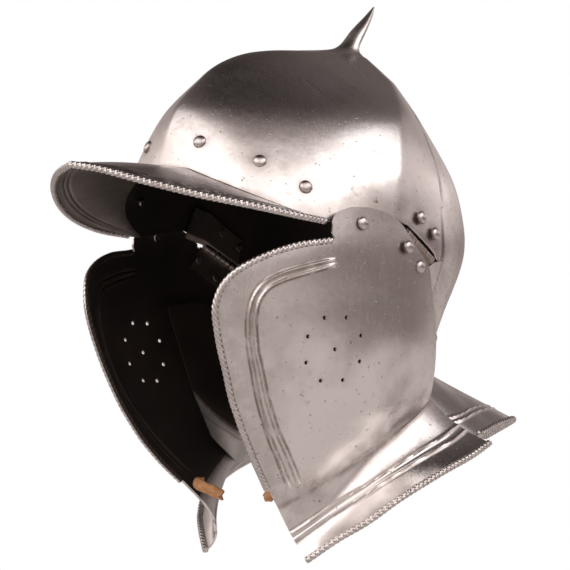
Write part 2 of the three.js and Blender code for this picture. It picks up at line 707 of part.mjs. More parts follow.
const skullBare = cut(join(makeSkullShell(), ...makePeak()), bar(knuckleRadius + 2 * clearance, -0.06, 1.03));
const cheekBare = cut(makeCheek(), bar(knuckleRadius + 2 * clearance, -0.12, 1.1));
const skullLeafBare = makeSkullLeaf();
const cheekLeafBare = makeCheekLeaf();
const napeBare = makeNape();

const onSkull = (turn, drop) => {
  const path = pathAtHeight(crownTop - drop * skullHeight);
  const point = skullPoint(rad(turn), path, 0);
  return [point, skullPoint(rad(turn), path, -1).sub(point)];
};

const browParts = browRivets.map((row) => makeRivet(skullBare, skullBare, ...onSkull(row.turn, row.drop)));
const napeUpper = makeRivet(skullBare, napeBare, ...onSkull(153.3, 0.962));
const neckRound = napePoint(123, 1.7).sub(napePoint(119, 1.7));
const neckFall = napePoint(121, 1.8).sub(napePoint(121, 1.6));
const neckNormal = neckFall.cross(neckRound).normalize();
const napeLower = makeRivet(napeBare, napeBare, napePoint(121, 1.7), neckNormal);
const hingeParts = hingeRivets.map((row) => {
  const onCheek = row.leaf === 'cheek';
  const place = hingePlace(row.along, onCheek ? row.away : -row.away);
  const guess = onCheek ? cheekNormal(place.y, place.z) : new THREE.Vector3(0.95, 0.22, 0.12).normalize();
  return makeRivet(onCheek ? cheekBare : skullBare, onCheek ? cheekLeafBare : skullLeafBare, place, guess);
});
const lobeY = -0.24 * cheekReach;
const lobeZ = lobeTop - 0.055 * cheekDrop;
const lobePart = makeRivet(cheekBare, cheekBare, cheekInside(lobeY, lobeZ, 0), cheekNormal(lobeY, lobeZ));

// Ring of pierced holes round one in the middle
function rosetteDrills() {
  const y = -0.406 * cheekReach;
  const z = lobeTop - 0.471 * cheekDrop;
  const frame = frameAt(cheekInside(y, z, 0), cheekNormal(y, z));
  const holes = [drill(rosetteHole, 9, 6)];
  for (let i = 0; i < 8; i += 1) {
    const a = rad(22.5 + 45 * i);
    const hole = drill(rosetteHole, 9, 6);
    holes.push(hole.translate(rosetteRadius * Math.sin(a), 0, rosetteRadius * Math.cos(a)));
  }
  return holes.map((hole) => hole.applyMatrix4(frame));
}

// Stub of the chin strap inside the front corner of a cheek piece
function makeStrap(length) {
  const across = new THREE.Vector3(-0.18, -0.25, 0.95).normalize();
  const middle = lobeTop - 0.94 * cheekDrop;
  const depth = ropeRadius + cheekWall + 3 * clearance;
  const root = cheekInside(-0.36 * cheekReach, middle, depth);
  const bend = cheekInside(-0.45 * cheekReach, middle, depth);
  const tip = bend.clone().addScaledVector(new THREE.Vector3(-0.9, 0.35, -0.35).normalize(), length);
  const line = [root, bend, bend.clone().lerp(tip, 0.5), tip];
  const grid = [-0.5, 0.5].map((s) => line.map((p) => p.clone().addScaledVector(across, s * strapWidth)));
  return plate(grid, strapThickness, 1);
}

const leftDoor = hungFrom(leftOpen, 1);
const rightDoor = hungFrom(rightOpen, -1);
const holes = (parts) => parts.map((part) => part.hole);
const both = (tools) => [...tools, ...tools.map(mirror)];

const skullHinge = hingeParts.slice(0, 2);
const cheekHinge = hingeParts.slice(2);
add('skull', cut(skullBare, ...both(holes([...browParts, napeUpper, ...skullHinge]))), polished);
add('nape_plate', cut(napeBare, ...both(holes([napeUpper, napeLower]))), polished);

const cheek = cut(cheekBare, ...holes([lobePart, ...cheekHinge]), ...rosetteDrills());
const skullLeaf = cut(skullLeafBare, ...holes(skullHinge));
const cheekLeaf = cut(cheekLeafBare, ...holes(cheekHinge));
const pin = bar(pinRadius, 0, 1);
const sides = [
  { name: 'left', door: leftDoor, strap: leftStrap, made: (geometry) => geometry },
  { name: 'right', door: rightDoor, strap: rightStrap, made: mirror },
];
for (const { name, door, strap, made } of sides) {
  add(`${name}_cheek`, made(cheek), polished, door);
  add(`${name}_cheek_leaf`, made(cheekLeaf), filed, door);
  add(`${name}_hinge_leaf`, made(skullLeaf), filed);
  add(`${name}_hinge_pin`, made(pin), filed);
  add(`${name}_strap`, made(makeStrap(strap)), leather, door);
  browParts.forEach((part, i) => add(`${name}_brow_rivet_${i + 1}`, made(part.body), polished));
  skullHinge.forEach((part, i) => add(`${name}_hinge_rivet_${i + 1}`, made(part.body), polished));
  cheekHinge.forEach((part, i) => add(`${name}_cheek_rivet_${i + 1}`, made(part.body), polished, door));
  add(`${name}_lobe_rivet`, made(lobePart.body), polished, door);
  add(`${name}_nape_rivet_1`, made(napeUpper.body), polished);
  add(`${name}_nape_rivet_2`, made(napeLower.body), polished);
}

export default group;
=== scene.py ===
"""Looks of the burgonet: worn polished steel, its inside painted near black for its blackening and for
painted shade, with roped edges and leather stubs.
Lengths are in millimetres and meshes are made in metres. The front looks along -Y, up is +Z, and left is
+X. The cheek pieces are made shut, on the left, and then turned open and mirrored."""
import math
import bpy
import numpy as np
from mathutils import Matrix, Vector


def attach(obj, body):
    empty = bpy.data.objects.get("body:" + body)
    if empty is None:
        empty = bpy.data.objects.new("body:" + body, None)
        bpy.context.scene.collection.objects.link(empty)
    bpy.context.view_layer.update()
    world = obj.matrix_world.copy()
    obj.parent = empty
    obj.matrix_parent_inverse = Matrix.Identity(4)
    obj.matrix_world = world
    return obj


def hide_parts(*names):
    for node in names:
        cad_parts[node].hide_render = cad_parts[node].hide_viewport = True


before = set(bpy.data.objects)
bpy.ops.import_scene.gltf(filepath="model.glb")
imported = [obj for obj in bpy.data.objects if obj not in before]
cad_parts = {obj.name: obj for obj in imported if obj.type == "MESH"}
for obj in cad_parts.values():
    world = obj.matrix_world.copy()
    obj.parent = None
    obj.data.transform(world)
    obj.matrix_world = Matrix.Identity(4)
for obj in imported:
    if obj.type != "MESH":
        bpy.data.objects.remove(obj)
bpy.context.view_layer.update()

# Driving dimensions, the same as in the part's source
SKULL_FRONT, SKULL_BACK, SKULL_HEIGHT, SPIKE_HEIGHT = 118, 140, 200, 37
HALF_WIDTH = 98.5
SKULL_WALL, PEAK_WALL, CHEEK_WALL, NAPE_WALL = 1.4, 1.4, 1.4, 1.3
PEAK_REACH, CHEEK_DROP, CHEEK_REACH, NAPE_REACH = 78, 190, 121, 198
ROPE_RADIUS = 2.3
CLEARANCE = 0.3
KNUCKLE_RADIUS = 2.9
ROSETTE_RADIUS, ROSETTE_HOLE = 21.5, 1.35
CROWN_TOP = SKULL_WALL
LEFT_OPEN, RIGHT_OPEN = 5, 1
ROPE_PITCH = 3.6
FLANGE_SAG = 9.0

# Small forms: how far round the peak and the hinge run in degrees, then widths and heights
PEAK_TURN = 64
HINGE_FROM, HINGE_TO, HINGE_DROP, HINGE_INSET = 95.5, 109, 4.6, 1.2
SLOT_LIFT = 1.2
LEAF_WALL = 1.3
RIB_WIDTH, RIB_HEIGHT = 0.75, 1.35
STEP_WIDTH, STEP_HEIGHT, STEP_APART = 0.85, 1.1, 0.13
ROSETTE_AHEAD, ROSETTE_FALL = 0.406, 0.471
RIVET_RADIUS, RIVET_RISE, SHANK_RADIUS = 4.4, 2.55, 1.8
STRAP_HALF, STRAP_THICK = 4.25, 1.2
LEFT_STRAP, RIGHT_STRAP = 9, 22

# Sections of the skull from its lower rim to the spike's tip. drop: share of its height; rise: of the
# spike's height; wide: of the half width; middle and aft: of its back; fore: of its front; then the
# swell at the corners and the pinch that leaves the ridges
SKULL_ROWS = np.array([
    (1.133, 0, 0.736, 0.02, 0.78, 0.73, 0.02, 0.00),
    (1.018, 0, 0.832, 0.02, 0.85, 0.74, 0.02, 0.00),
    (0.893, 0, 0.924, 0.02, 0.93, 0.78, 0.04, 0.01),
    (0.708, 0, 1.000, 0.02, 0.98, 0.90, 0.06, 0.02),
    (0.588, 0, 1.000, 0.025, 1.00, 0.92, 0.06, 0.03),
    (0.428, 0, 0.954, 0.10, 1.06, 0.80, 0.04, 0.05),
    (0.253, 0, 0.79, 0.22, 1.10, 0.505, 0.01, 0.065),
    (0.124, 0, 0.498, 0.375, 1.068, 0.222, 0.00, 0.075),
    (0.074, 0, 0.352, 0.405, 0.975, 0.146, 0.00, 0.07),
    (0.0345, 0, 0.238, 0.416, 0.81, 0.100, 0.00, 0.06),
    (0.0125, 0, 0.167, 0.425, 0.623, 0.082, 0.00, 0.06),
    (0.0, 0.0, 0.122, 0.429, 0.407, 0.061, 0.00, 0.05),
    (0.0, 0.106, 0.090, 0.430, 0.14, 0.046, 0.00, 0.04),
    (0.0, 0.231, 0.075, 0.446, 0.068, 0.043, 0.00, 0.03),
    (0.0, 0.524, 0.058, 0.505, 0.048, 0.037, 0.00, 0.03),
    (0.0, 0.823, 0.027, 0.573, 0.023, 0.019, 0.00, 0.02),
    (0.0, 1.0, 0.006, 0.607, 0.005, 0.004, 0.00, 0.00),
])
# Lower edge of the skull: degrees from the front ridge, drop as a share of the skull's height
RIM_ROWS = np.array([
    (0, 0.4265), (14, 0.442), (29, 0.4935), (43, 0.545), (55, 0.5885), (63, 0.6185), (75, 0.6035),
    (86, 0.587), (92, 0.603), (95, 0.611), (109, 0.700), (113, 0.722), (115, 0.930), (135, 0.975),
    (160, 0.995), (180, 1.0),
])
# Edge of the peak: shares of half width, peak reach and skull height
PEAK_ROWS = np.array([
    (0.00, 0.93, 0.4445), (0.22, 0.845, 0.465), (0.44, 0.66, 0.502), (0.68, 0.34, 0.545),
    (0.87, -0.02, 0.577), (0.965, -0.38, 0.601), (0.965, -0.70, 0.613),
])
# Rounded form that a cheek piece is bent to: drop below the top of its lobe, then as in SKULL_ROWS
TUBE_ROWS = np.array([
    (0.00, 1.028, 1.03, 0.95, 0.06), (0.14, 1.022, 1.25, 0.95, 0.03), (0.31, 0.992, 1.31, 0.89, 0.00),
    (0.485, 0.950, 1.20, 0.76, 0.00), (0.63, 0.850, 1.09, 0.70, 0.00), (0.725, 0.722, 1.03, 0.67, 0.00),
    (0.78, 0.655, 0.98, 0.66, 0.00), (0.86, 0.552, 0.863, 0.65, 0.00), (0.928, 0.469, 0.713, 0.64, 0.00),
    (1.00, 0.405, 0.55, 0.63, 0.00),
])
# Outline of a cheek piece: place and fall of its front edge, then of its rear edge
CHEEK_ROWS = np.array([
    (-0.30, 0.000, -0.18, 0.000), (-0.39, 0.018, -0.04, 0.018), (-0.425, 0.052, 0.06, 0.052),
    (-0.435, 0.088, 0.125, 0.092), (-0.44, 0.112, 0.178, 0.125), (-0.64, 0.130, 0.242, 0.160),
    (-0.82, 0.168, 0.305, 0.205), (-0.955, 0.225, 0.335, 0.270), (-1.006, 0.310, 0.37, 0.330),
    (-0.985, 0.400, 0.41, 0.400), (-0.92, 0.520, 0.445, 0.470), (-0.82, 0.660, 0.485, 0.530),
    (-0.645, 0.820, 0.535, 0.590), (-0.40, 0.978, 0.586, 0.624),
])
# Lower edge of the flange: share along it, then side, behind and fall
FLANGE_ROWS = np.array([
    (0.00, 0.386, -0.282, 1.161), (0.22, 0.568, -0.185, 1.095), (0.40, 0.725, -0.079, 1.042),
    (0.57, 0.855, 0.062, 0.973), (0.77, 0.944, 0.328, 0.893), (0.91, 0.968, 0.576, 0.836),
    (1.00, 0.954, 0.743, 0.794),
])
# Nape plate: degrees from the front ridge, top, then side, behind and drop of its crease and of its edge
NAPE_ROWS = np.array([
    (72, 0.86, 0.67, -0.150, 1.124, 0.59, -0.090, 1.285),
    (81, 0.85, 0.58, -0.050, 1.230, 0.57, -0.020, 1.345),
    (90, 0.84, 0.53, 0.055, 1.285, 0.63, 0.075, 1.385),
    (105, 0.87, 0.595, 0.185, 1.240, 0.765, 0.210, 1.355),
    (115, 0.915, 0.575, 0.295, 1.180, 0.83, 0.325, 1.328),
    (124, 0.90, 0.55, 0.385, 1.133, 0.862, 0.430, 1.305),
    (135, 0.89, 0.47, 0.455, 1.105, 0.865, 0.500, 1.284),
    (146, 0.91, 0.38, 0.505, 1.085, 0.80, 0.600, 1.260),
    (157, 0.925, 0.26, 0.540, 1.072, 0.69, 0.745, 1.238),
    (168, 0.935, 0.13, 0.560, 1.065, 0.43, 0.900, 1.243),
    (180, 0.935, 0.00, 0.570, 1.060, 0.00, 1.000, 1.298),
])
# Middle of the double rib along the front of a cheek piece: y and fall as in CHEEK_ROWS, half width
RIB_ROWS = np.array([
    (-0.41, 0.182, 1.4), (-0.50, 0.194, 2.0), (-0.60, 0.209, 2.2), (-0.726, 0.232, 2.2),
    (-0.80, 0.260, 2.2), (-0.842, 0.305, 2.2), (-0.8525, 0.371, 2.2), (-0.832, 0.452, 2.3),
    (-0.80, 0.515, 2.5), (-0.722, 0.632, 2.8), (-0.615, 0.735, 3.1), (-0.515, 0.81, 3.3),
    (-0.375, 0.905, 3.4),
])


def smooth(rows, places, at):
    """Rows read between their places with an even slope through each one."""
    at = np.asarray(at, float)
    last = len(places) - 1
    i = np.searchsorted(places[1:-1], at, side="left")
    before = np.maximum(np.arange(last + 1) - 1, 0)
    after = np.minimum(np.arange(last + 1) + 1, last)
    slope = (rows[after] - rows[before]) / (places[after] - places[before])[:, None]
    span = (places[i + 1] - places[i])[..., None]
    t = np.clip((at - places[i])[..., None] / span, 0, 1)
    return ((2 * t**3 - 3 * t**2 + 1) * rows[i] + (t**3 - 2 * t**2 + t) * slope[i] * span
            + (3 * t**2 - 2 * t**3) * rows[i + 1] + (t**3 - t**2) * slope[i + 1] * span)


step = np.diff(SKULL_ROWS, axis=0)
leg = np.sqrt((-step[:, 0] * SKULL_HEIGHT + step[:, 1] * SPIKE_HEIGHT) ** 2
              + (step[:, 2] * HALF_WIDTH) ** 2 + (step[:, 4] * SKULL_FRONT) ** 2)
SKULL_PATH = np.concatenate([[0], np.cumsum(leg)])
PATH_END = SKULL_PATH[-1]


def row_height(row):
    return CROWN_TOP - row[..., 0] * SKULL_HEIGHT + row[..., 1] * SPIKE_HEIGHT


def section_point(path, angle):
    row = smooth(SKULL_ROWS, SKULL_PATH, path)
    s, c = np.sin(angle), np.cos(angle)
    corner = np.abs(np.sin(2 * angle))
    swell = 1 + row[..., 6] * corner**2 - row[..., 7] * corner
    depth = np.where(c > 0, -row[..., 4] * SKULL_FRONT, -row[..., 5] * SKULL_BACK)
    return np.stack([s * swell * row[..., 2] * HALF_WIDTH, row[..., 3] * SKULL_BACK + c * swell * depth,
                     row_height(row)], axis=-1)


def unit(v):
    return v / np.maximum(np.linalg.norm(v, axis=-1, keepdims=True), 1e-9)


def skull_point(angle, path, inset=0.0):
    angle, path = np.broadcast_arrays(np.asarray(angle, float), np.asarray(path, float))
    point = section_point(path, angle)
    near = np.where(path > PATH_END - 2, -2.0, 2.0)
    along = section_point(path + near, angle) - point
    around = section_point(path, angle + 0.01) - section_point(path, angle - 0.01)
    normal = unit(np.cross(around, along)) * np.sign(near)[..., None]
    return point - normal * inset


PATHS = np.linspace(0, PATH_END, 6000)
HEIGHTS = np.maximum.accumulate(row_height(smooth(SKULL_ROWS, SKULL_PATH, PATHS)))


def path_at_height(z):
    return np.interp(z, HEIGHTS, PATHS)


def rim_height(angle):
    turn = np.abs(np.degrees(angle))
    return CROWN_TOP - np.interp(turn, RIM_ROWS[:, 0], RIM_ROWS[:, 1]) * SKULL_HEIGHT


LOBE_TOP = CROWN_TOP - 0.566 * SKULL_HEIGHT
TUBE_MIDDLE = 0.02 * SKULL_BACK


def tube_x(y, z):
    y, z = np.broadcast_arrays(np.asarray(y, float), np.asarray(z, float))
    row = smooth(TUBE_ROWS, TUBE_ROWS[:, 0], np.clip((LOBE_TOP - z) / CHEEK_DROP, 0, 1))
    reach = np.where(y < TUBE_MIDDLE, row[..., 2] * SKULL_FRONT, row[..., 3] * SKULL_BACK)
    target = np.abs(y - TUBE_MIDDLE) / reach
    low, high = np.zeros_like(target), np.full_like(target, math.pi / 2)
    for _ in range(26):
        mid = (low + high) / 2
        under = np.sin(mid) * (1 + row[..., 4] * np.sin(2 * mid) ** 2) < target
        low, high = np.where(under, mid, low), np.where(under, high, mid)
    return np.cos(low) * (1 + row[..., 4] * np.sin(2 * low) ** 2) * row[..., 1] * HALF_WIDTH


def on_tube(y, z):
    y, z = np.broadcast_arrays(np.asarray(y, float), np.asarray(z, float))
    return np.stack([tube_x(y, z), y, z], axis=-1)


def tube_normal(y, z):
    dy = tube_x(y + 0.5, z) - tube_x(y - 0.5, z)
    dz = tube_x(y, z + 0.5) - tube_x(y, z - 0.5)
    return unit(np.stack(np.broadcast_arrays(1.0, -dy, -dz), axis=-1))


def cheek_point(v, t):
    """v counts the rows of CHEEK_ROWS, t runs from the front edge to the rear one."""
    row = smooth(CHEEK_ROWS, np.arange(len(CHEEK_ROWS), dtype=float), v)
    y = (row[..., 0] * (1 - t) + row[..., 2] * t) * CHEEK_REACH
    z = LOBE_TOP - (row[..., 1] * (1 - t) + row[..., 3] * t) * CHEEK_DROP
    return on_tube(y, z)


def flange_point(t, share):
    t, share = np.broadcast_arrays(np.asarray(t, float), np.asarray(share, float))
    crease = cheek_point(np.full(t.shape, len(CHEEK_ROWS) - 1.0), t)
    row = smooth(FLANGE_ROWS, FLANGE_ROWS[:, 0], t)
    edge = np.stack([row[..., 1] * HALF_WIDTH, row[..., 2] * CHEEK_REACH,
                     LOBE_TOP - row[..., 3] * CHEEK_DROP], axis=-1)
    point = crease + (edge - crease) * share[..., None]
    hollow = FLANGE_SAG * 4 * share * (1 - share)
    inward = unit(np.stack([-edge[..., 0], -0.6 * edge[..., 1] + 20, 0 * edge[..., 2]], axis=-1))
    point += inward * (hollow * (1 - 0.7 * t))[..., None]
    point[..., 2] -= 0.25 * hollow
    return point


NAPE_INSET = SKULL_WALL + CLEARANCE + 0.8


def nape_point(turn, share):
    turn, share = np.broadcast_arrays(np.asarray(turn, float), np.asarray(share, float))
    row = smooth(NAPE_ROWS, NAPE_ROWS[:, 0], np.abs(turn))
    side = np.sign(turn) * HALF_WIDTH

    def level(drop):
        return CROWN_TOP - drop * SKULL_HEIGHT

    def upright(drop):
        return skull_point(np.radians(turn), path_at_height(level(drop)), NAPE_INSET)

    neck = np.stack([side * row[..., 2], row[..., 3] * NAPE_REACH, level(row[..., 4])], axis=-1)
    edge = np.stack([side * row[..., 5], row[..., 6] * NAPE_REACH, level(row[..., 7])], axis=-1)
    top = np.clip(share, 0, 1)
    first = upright(row[..., 1] * (1 - top) + top)
    s2 = np.clip(share - 1, 0, 1)[..., None]
    s3 = np.clip(share - 2, 0, 1)[..., None]
    base = first + (neck - first) * s2
    return base + (edge - base) * s3


def peak_edge(share):
    n = len(PEAK_ROWS) - 1
    row = smooth(PEAK_ROWS, np.arange(n + 1, dtype=float), np.abs(share) * n)
    brow = skull_point(0.0, path_at_height(rim_height(0.0)))[1]
    return np.stack([np.sign(share) * row[..., 0] * HALF_WIDTH, brow - row[..., 1] * PEAK_REACH,
                     CROWN_TOP - row[..., 2] * SKULL_HEIGHT], axis=-1)


# Mesh helpers. A piece gathers parts; each part has points, faces, a finish per face and two masks.
def grid_normals(grid, wrap=False):
    if wrap:
        du = np.roll(grid, -1, 0) - np.roll(grid, 1, 0)
    else:
        du = np.gradient(grid, axis=0)
    dv = np.gradient(grid, axis=1)
    return unit(np.cross(du, dv))


def grid_faces(n, m, base, wrap, flip):
    i, j = np.meshgrid(np.arange(n if wrap else n - 1), np.arange(m - 1), indexing="ij")
    k = (i + 1) % n
    quads = np.stack([i * m + j, k * m + j, k * m + j + 1, i * m + j + 1], axis=-1).reshape(-1, 4)
    return (quads[:, ::-1] if flip else quads) + base


class Part:
    def __init__(self):
        self.points, self.faces, self.finish, self.dark, self.mark = [], [], [], [], []
        self.count = 0

    def add(self, points, faces, finish, dark=0.0, mark=0.0):
        points = points.reshape(-1, 3)
        self.points.append(points)
        self.faces += [list(f) for f in (faces + self.count).tolist()]
        self.finish += [finish] * len(faces)
        self.dark.append(np.broadcast_to(np.asarray(dark, float).reshape(-1), (len(points),)))
        self.mark.append(np.broadcast_to(np.asarray(mark, float).reshape(-1), (len(points),)))
        self.count += len(points)

    def shell(self, outer, inner, outward, dark=0.0, mark=0.0, finish=(0, 1, 0), lit_from=None):
        """Closed sheet from an outer and an inner grid. outward: +1 if du x dv points out.
        finish: outside, inside, edges; the inside is filed bright from the row lit_from on."""
        n, m = outer.shape[:2]
        both = np.concatenate([outer.reshape(-1, 3), inner.reshape(-1, 3)])
        ones = np.ones((n, m))
        dark2 = np.concatenate([(dark * ones).reshape(-1), (dark * ones).reshape(-1)])
        mark2 = np.concatenate([(mark * ones).reshape(-1), 0 * ones.reshape(-1)])
        start = self.count
        self.add(both, grid_faces(n, m, 0, False, outward < 0), finish[0], dark2, mark2)
        more = grid_faces(n, m, n * m, False, outward > 0)
        line = [(i * m, (i + 1) * m) for i in range(n - 1)]
        side = [(j, j + 1) for j in range(m - 1)]
        last = (n - 1) * m
        edge = [(a, a + n * m, b + n * m, b) for a, b in line]
        edge += [(b + m - 1, b + m - 1 + n * m, a + m - 1 + n * m, a + m - 1) for a, b in line]
        edge += [(b, b + n * m, a + n * m, a) for a, b in side]
        edge += [(last + a, last + a + n * m, last + b + n * m, last + b) for a, b in side]
        edge = np.array(edge)
        if outward < 0:
            edge = edge[:, ::-1]
        self.faces += (more + start).tolist() + (edge + start).tolist()
        lit = np.tile(np.arange(m - 1), n - 1) >= (m if lit_from is None else lit_from)
        self.finish += np.where(lit, 2, finish[1]).tolist() + [finish[2]] * len(edge)

    def rope(self, line, radius, pitch=ROPE_PITCH, sides=18, lean=1, inward=None):
        """Twisted edge along a line, its lobes split by narrow grooves that carry painted shade, with the
        near-black inside finish, partly painted shade, on the side of inward.
        """
        length = np.concatenate([[0], np.cumsum(np.linalg.norm(np.diff(line, axis=0), axis=1))])
        count = max(int(length[-1] / 0.42), 8)
        s = np.linspace(0, length[-1], count)
        p = np.stack([np.interp(s, length, line[:, k]) for k in range(3)], axis=-1)
        for _ in range(3):
            p[1:-1] = (p[:-2] + 2 * p[1:-1] + p[2:]) / 4
        tangent = unit(np.gradient(p, axis=0))
        side = np.zeros_like(p)
        ref = np.cross(tangent[0], [0.3, 0.2, 0.9])
        for i in range(count):
            ref = ref - tangent[i] * ref.dot(tangent[i])
            ref = ref / np.linalg.norm(ref)
            side[i] = ref
        up = np.cross(tangent, side)
        a = np.linspace(0, 2 * np.pi, sides, endpoint=False)
        phase = 2 * a[None, :] * lean + np.pi * s[:, None] / pitch
        lobe = np.abs(np.sin(phase)) ** 0.6
        r = radius * (0.72 + 0.28 * lobe)
        ring = (p[:, None] + side[:, None] * (r * np.cos(a))[..., None]
                + up[:, None] * (r * np.sin(a))[..., None])
        # Painted shade, darker in the grooves between the lobes
        dark = 0.22 + 0.60 * (1 - lobe)
        tip = [p[0] - tangent[0] * 0.3, p[-1] + tangent[-1] * 0.3]
        base = self.count
        i, j = np.meshgrid(np.arange(count - 1), np.arange(sides), indexing="ij")
        k = (j + 1) % sides
        quads = np.stack([i * sides + j, i * sides + k, (i + 1) * sides + k, (i + 1) * sides + j], axis=-1)
        quads = quads.reshape(-1, 4)
        points = np.concatenate([ring.reshape(-1, 3), tip])
        self.add(points, quads, 0, np.concatenate([dark.reshape(-1), [0, 0]]))
        if inward is not None:
            out = ring - p[:, None]
            way = unit(inward(p))[:, None]
            within = ((out * way).sum(axis=-1) > -0.5 * radius).reshape(-1)
            self.finish[-len(quads):] = np.where(within[quads].all(axis=1), 1, 0).tolist()
        first, end, last = base + count * sides, base + count * sides + 1, base + (count - 1) * sides
        for j in range(sides):
            k = (j + 1) % sides
            self.faces += [[first, base + k, base + j], [end, last + j, last + k]]
            self.finish += [0, 0]

    def moved(self, change):
        self.points = [change(p) for p in self.points]
        return self

    def mirrored(self):
        copy = Part()
        copy.points = [p * [-1, 1, 1] for p in self.points]
        copy.faces = [f[::-1] for f in self.faces]
        copy.finish, copy.dark, copy.mark, copy.count = list(self.finish), self.dark, self.mark, self.count
        return copy

    def copied(self, side):
        """A copy for one side of the helmet: 1 for the left, -1 for the right."""
        twin = self.mirrored()
        return twin if side < 0 else twin.mirrored()

    def build(self, name, materials, body, slot, smooth_angle=35):
        mesh = bpy.data.meshes.new(name)
        mesh.from_pydata((np.concatenate(self.points) / 1000).tolist(), [], self.faces)
        mesh.polygons.foreach_set("material_index", self.finish)
        mesh.polygons.foreach_set("use_smooth", [True] * len(self.faces))
        for m in materials:
            mesh.materials.append(m)
        for key, values in (("dark", self.dark), ("mark", self.mark)):
            layer = mesh.attributes.new(key, "FLOAT", "POINT")
            layer.data.foreach_set("value", np.concatenate(values).astype(np.float32))
        mesh.update()
        mesh.set_sharp_from_angle(angle=math.radians(smooth_angle))
        obj = bpy.data.objects.new(name, mesh)
        bpy.context.scene.collection.objects.link(obj)
        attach(obj, body)
        return obj


def bead(d, width, height):
    return height * np.exp(-((d / width) ** 2))


def nearest(points, line):
    """Distance from each point to a polyline, and the place along it in segments."""
    best = np.full(points.shape[:-1], 1e9)
    place = np.zeros(points.shape[:-1])
    for k in range(len(line) - 1):
        a, b = line[k], line[k + 1]
        f = np.clip(((points - a) @ (b - a)) / ((b - a) @ (b - a)), 0, 1)
        d = np.linalg.norm(points - (a + f[..., None] * (b - a)), axis=-1)
        place = np.where(d < best, k + f, place)
        best = np.minimum(best, d)
    return best, place


def halo(points, centres, radius):
    """Darker ring round each centre."""
    total = np.zeros(points.shape[:-1])
    for c in centres:
        d = np.linalg.norm(points - c, axis=-1)
        total = np.maximum(total, np.exp(-((d / radius) ** 2)))
    return total


# Rivets: centre and axis of each head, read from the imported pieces
def rivet_frame(node):
    co = np.array([list(v.co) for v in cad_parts[node].data.vertices]) * 1000
    co = np.unique(co.round(3), axis=0)
    middle = co.mean(axis=0)
    ring = co[np.argsort(-np.linalg.norm(co - middle, axis=1))[:6]]
    centre = ring.mean(axis=0)
    axis = np.linalg.svd(ring - centre)[2][2]
    if ((co - centre) @ axis).max() < -((co - centre) @ axis).min() * 0.4:
        axis = -axis
    if axis.dot(centre - [0, 20, -110]) < 0:
        axis = -axis
    return centre, axis, ((co - centre) @ axis).min()


rivets = {n: rivet_frame(n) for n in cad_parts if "rivet" in n}


def rivet_spots(*words):
    return [c for n, (c, a, low) in rivets.items() if any(w in n for w in words)]


# Materials
def tree_of(material):
    material.use_nodes = True
    tree = material.node_tree
    tree.nodes.clear()
    return tree


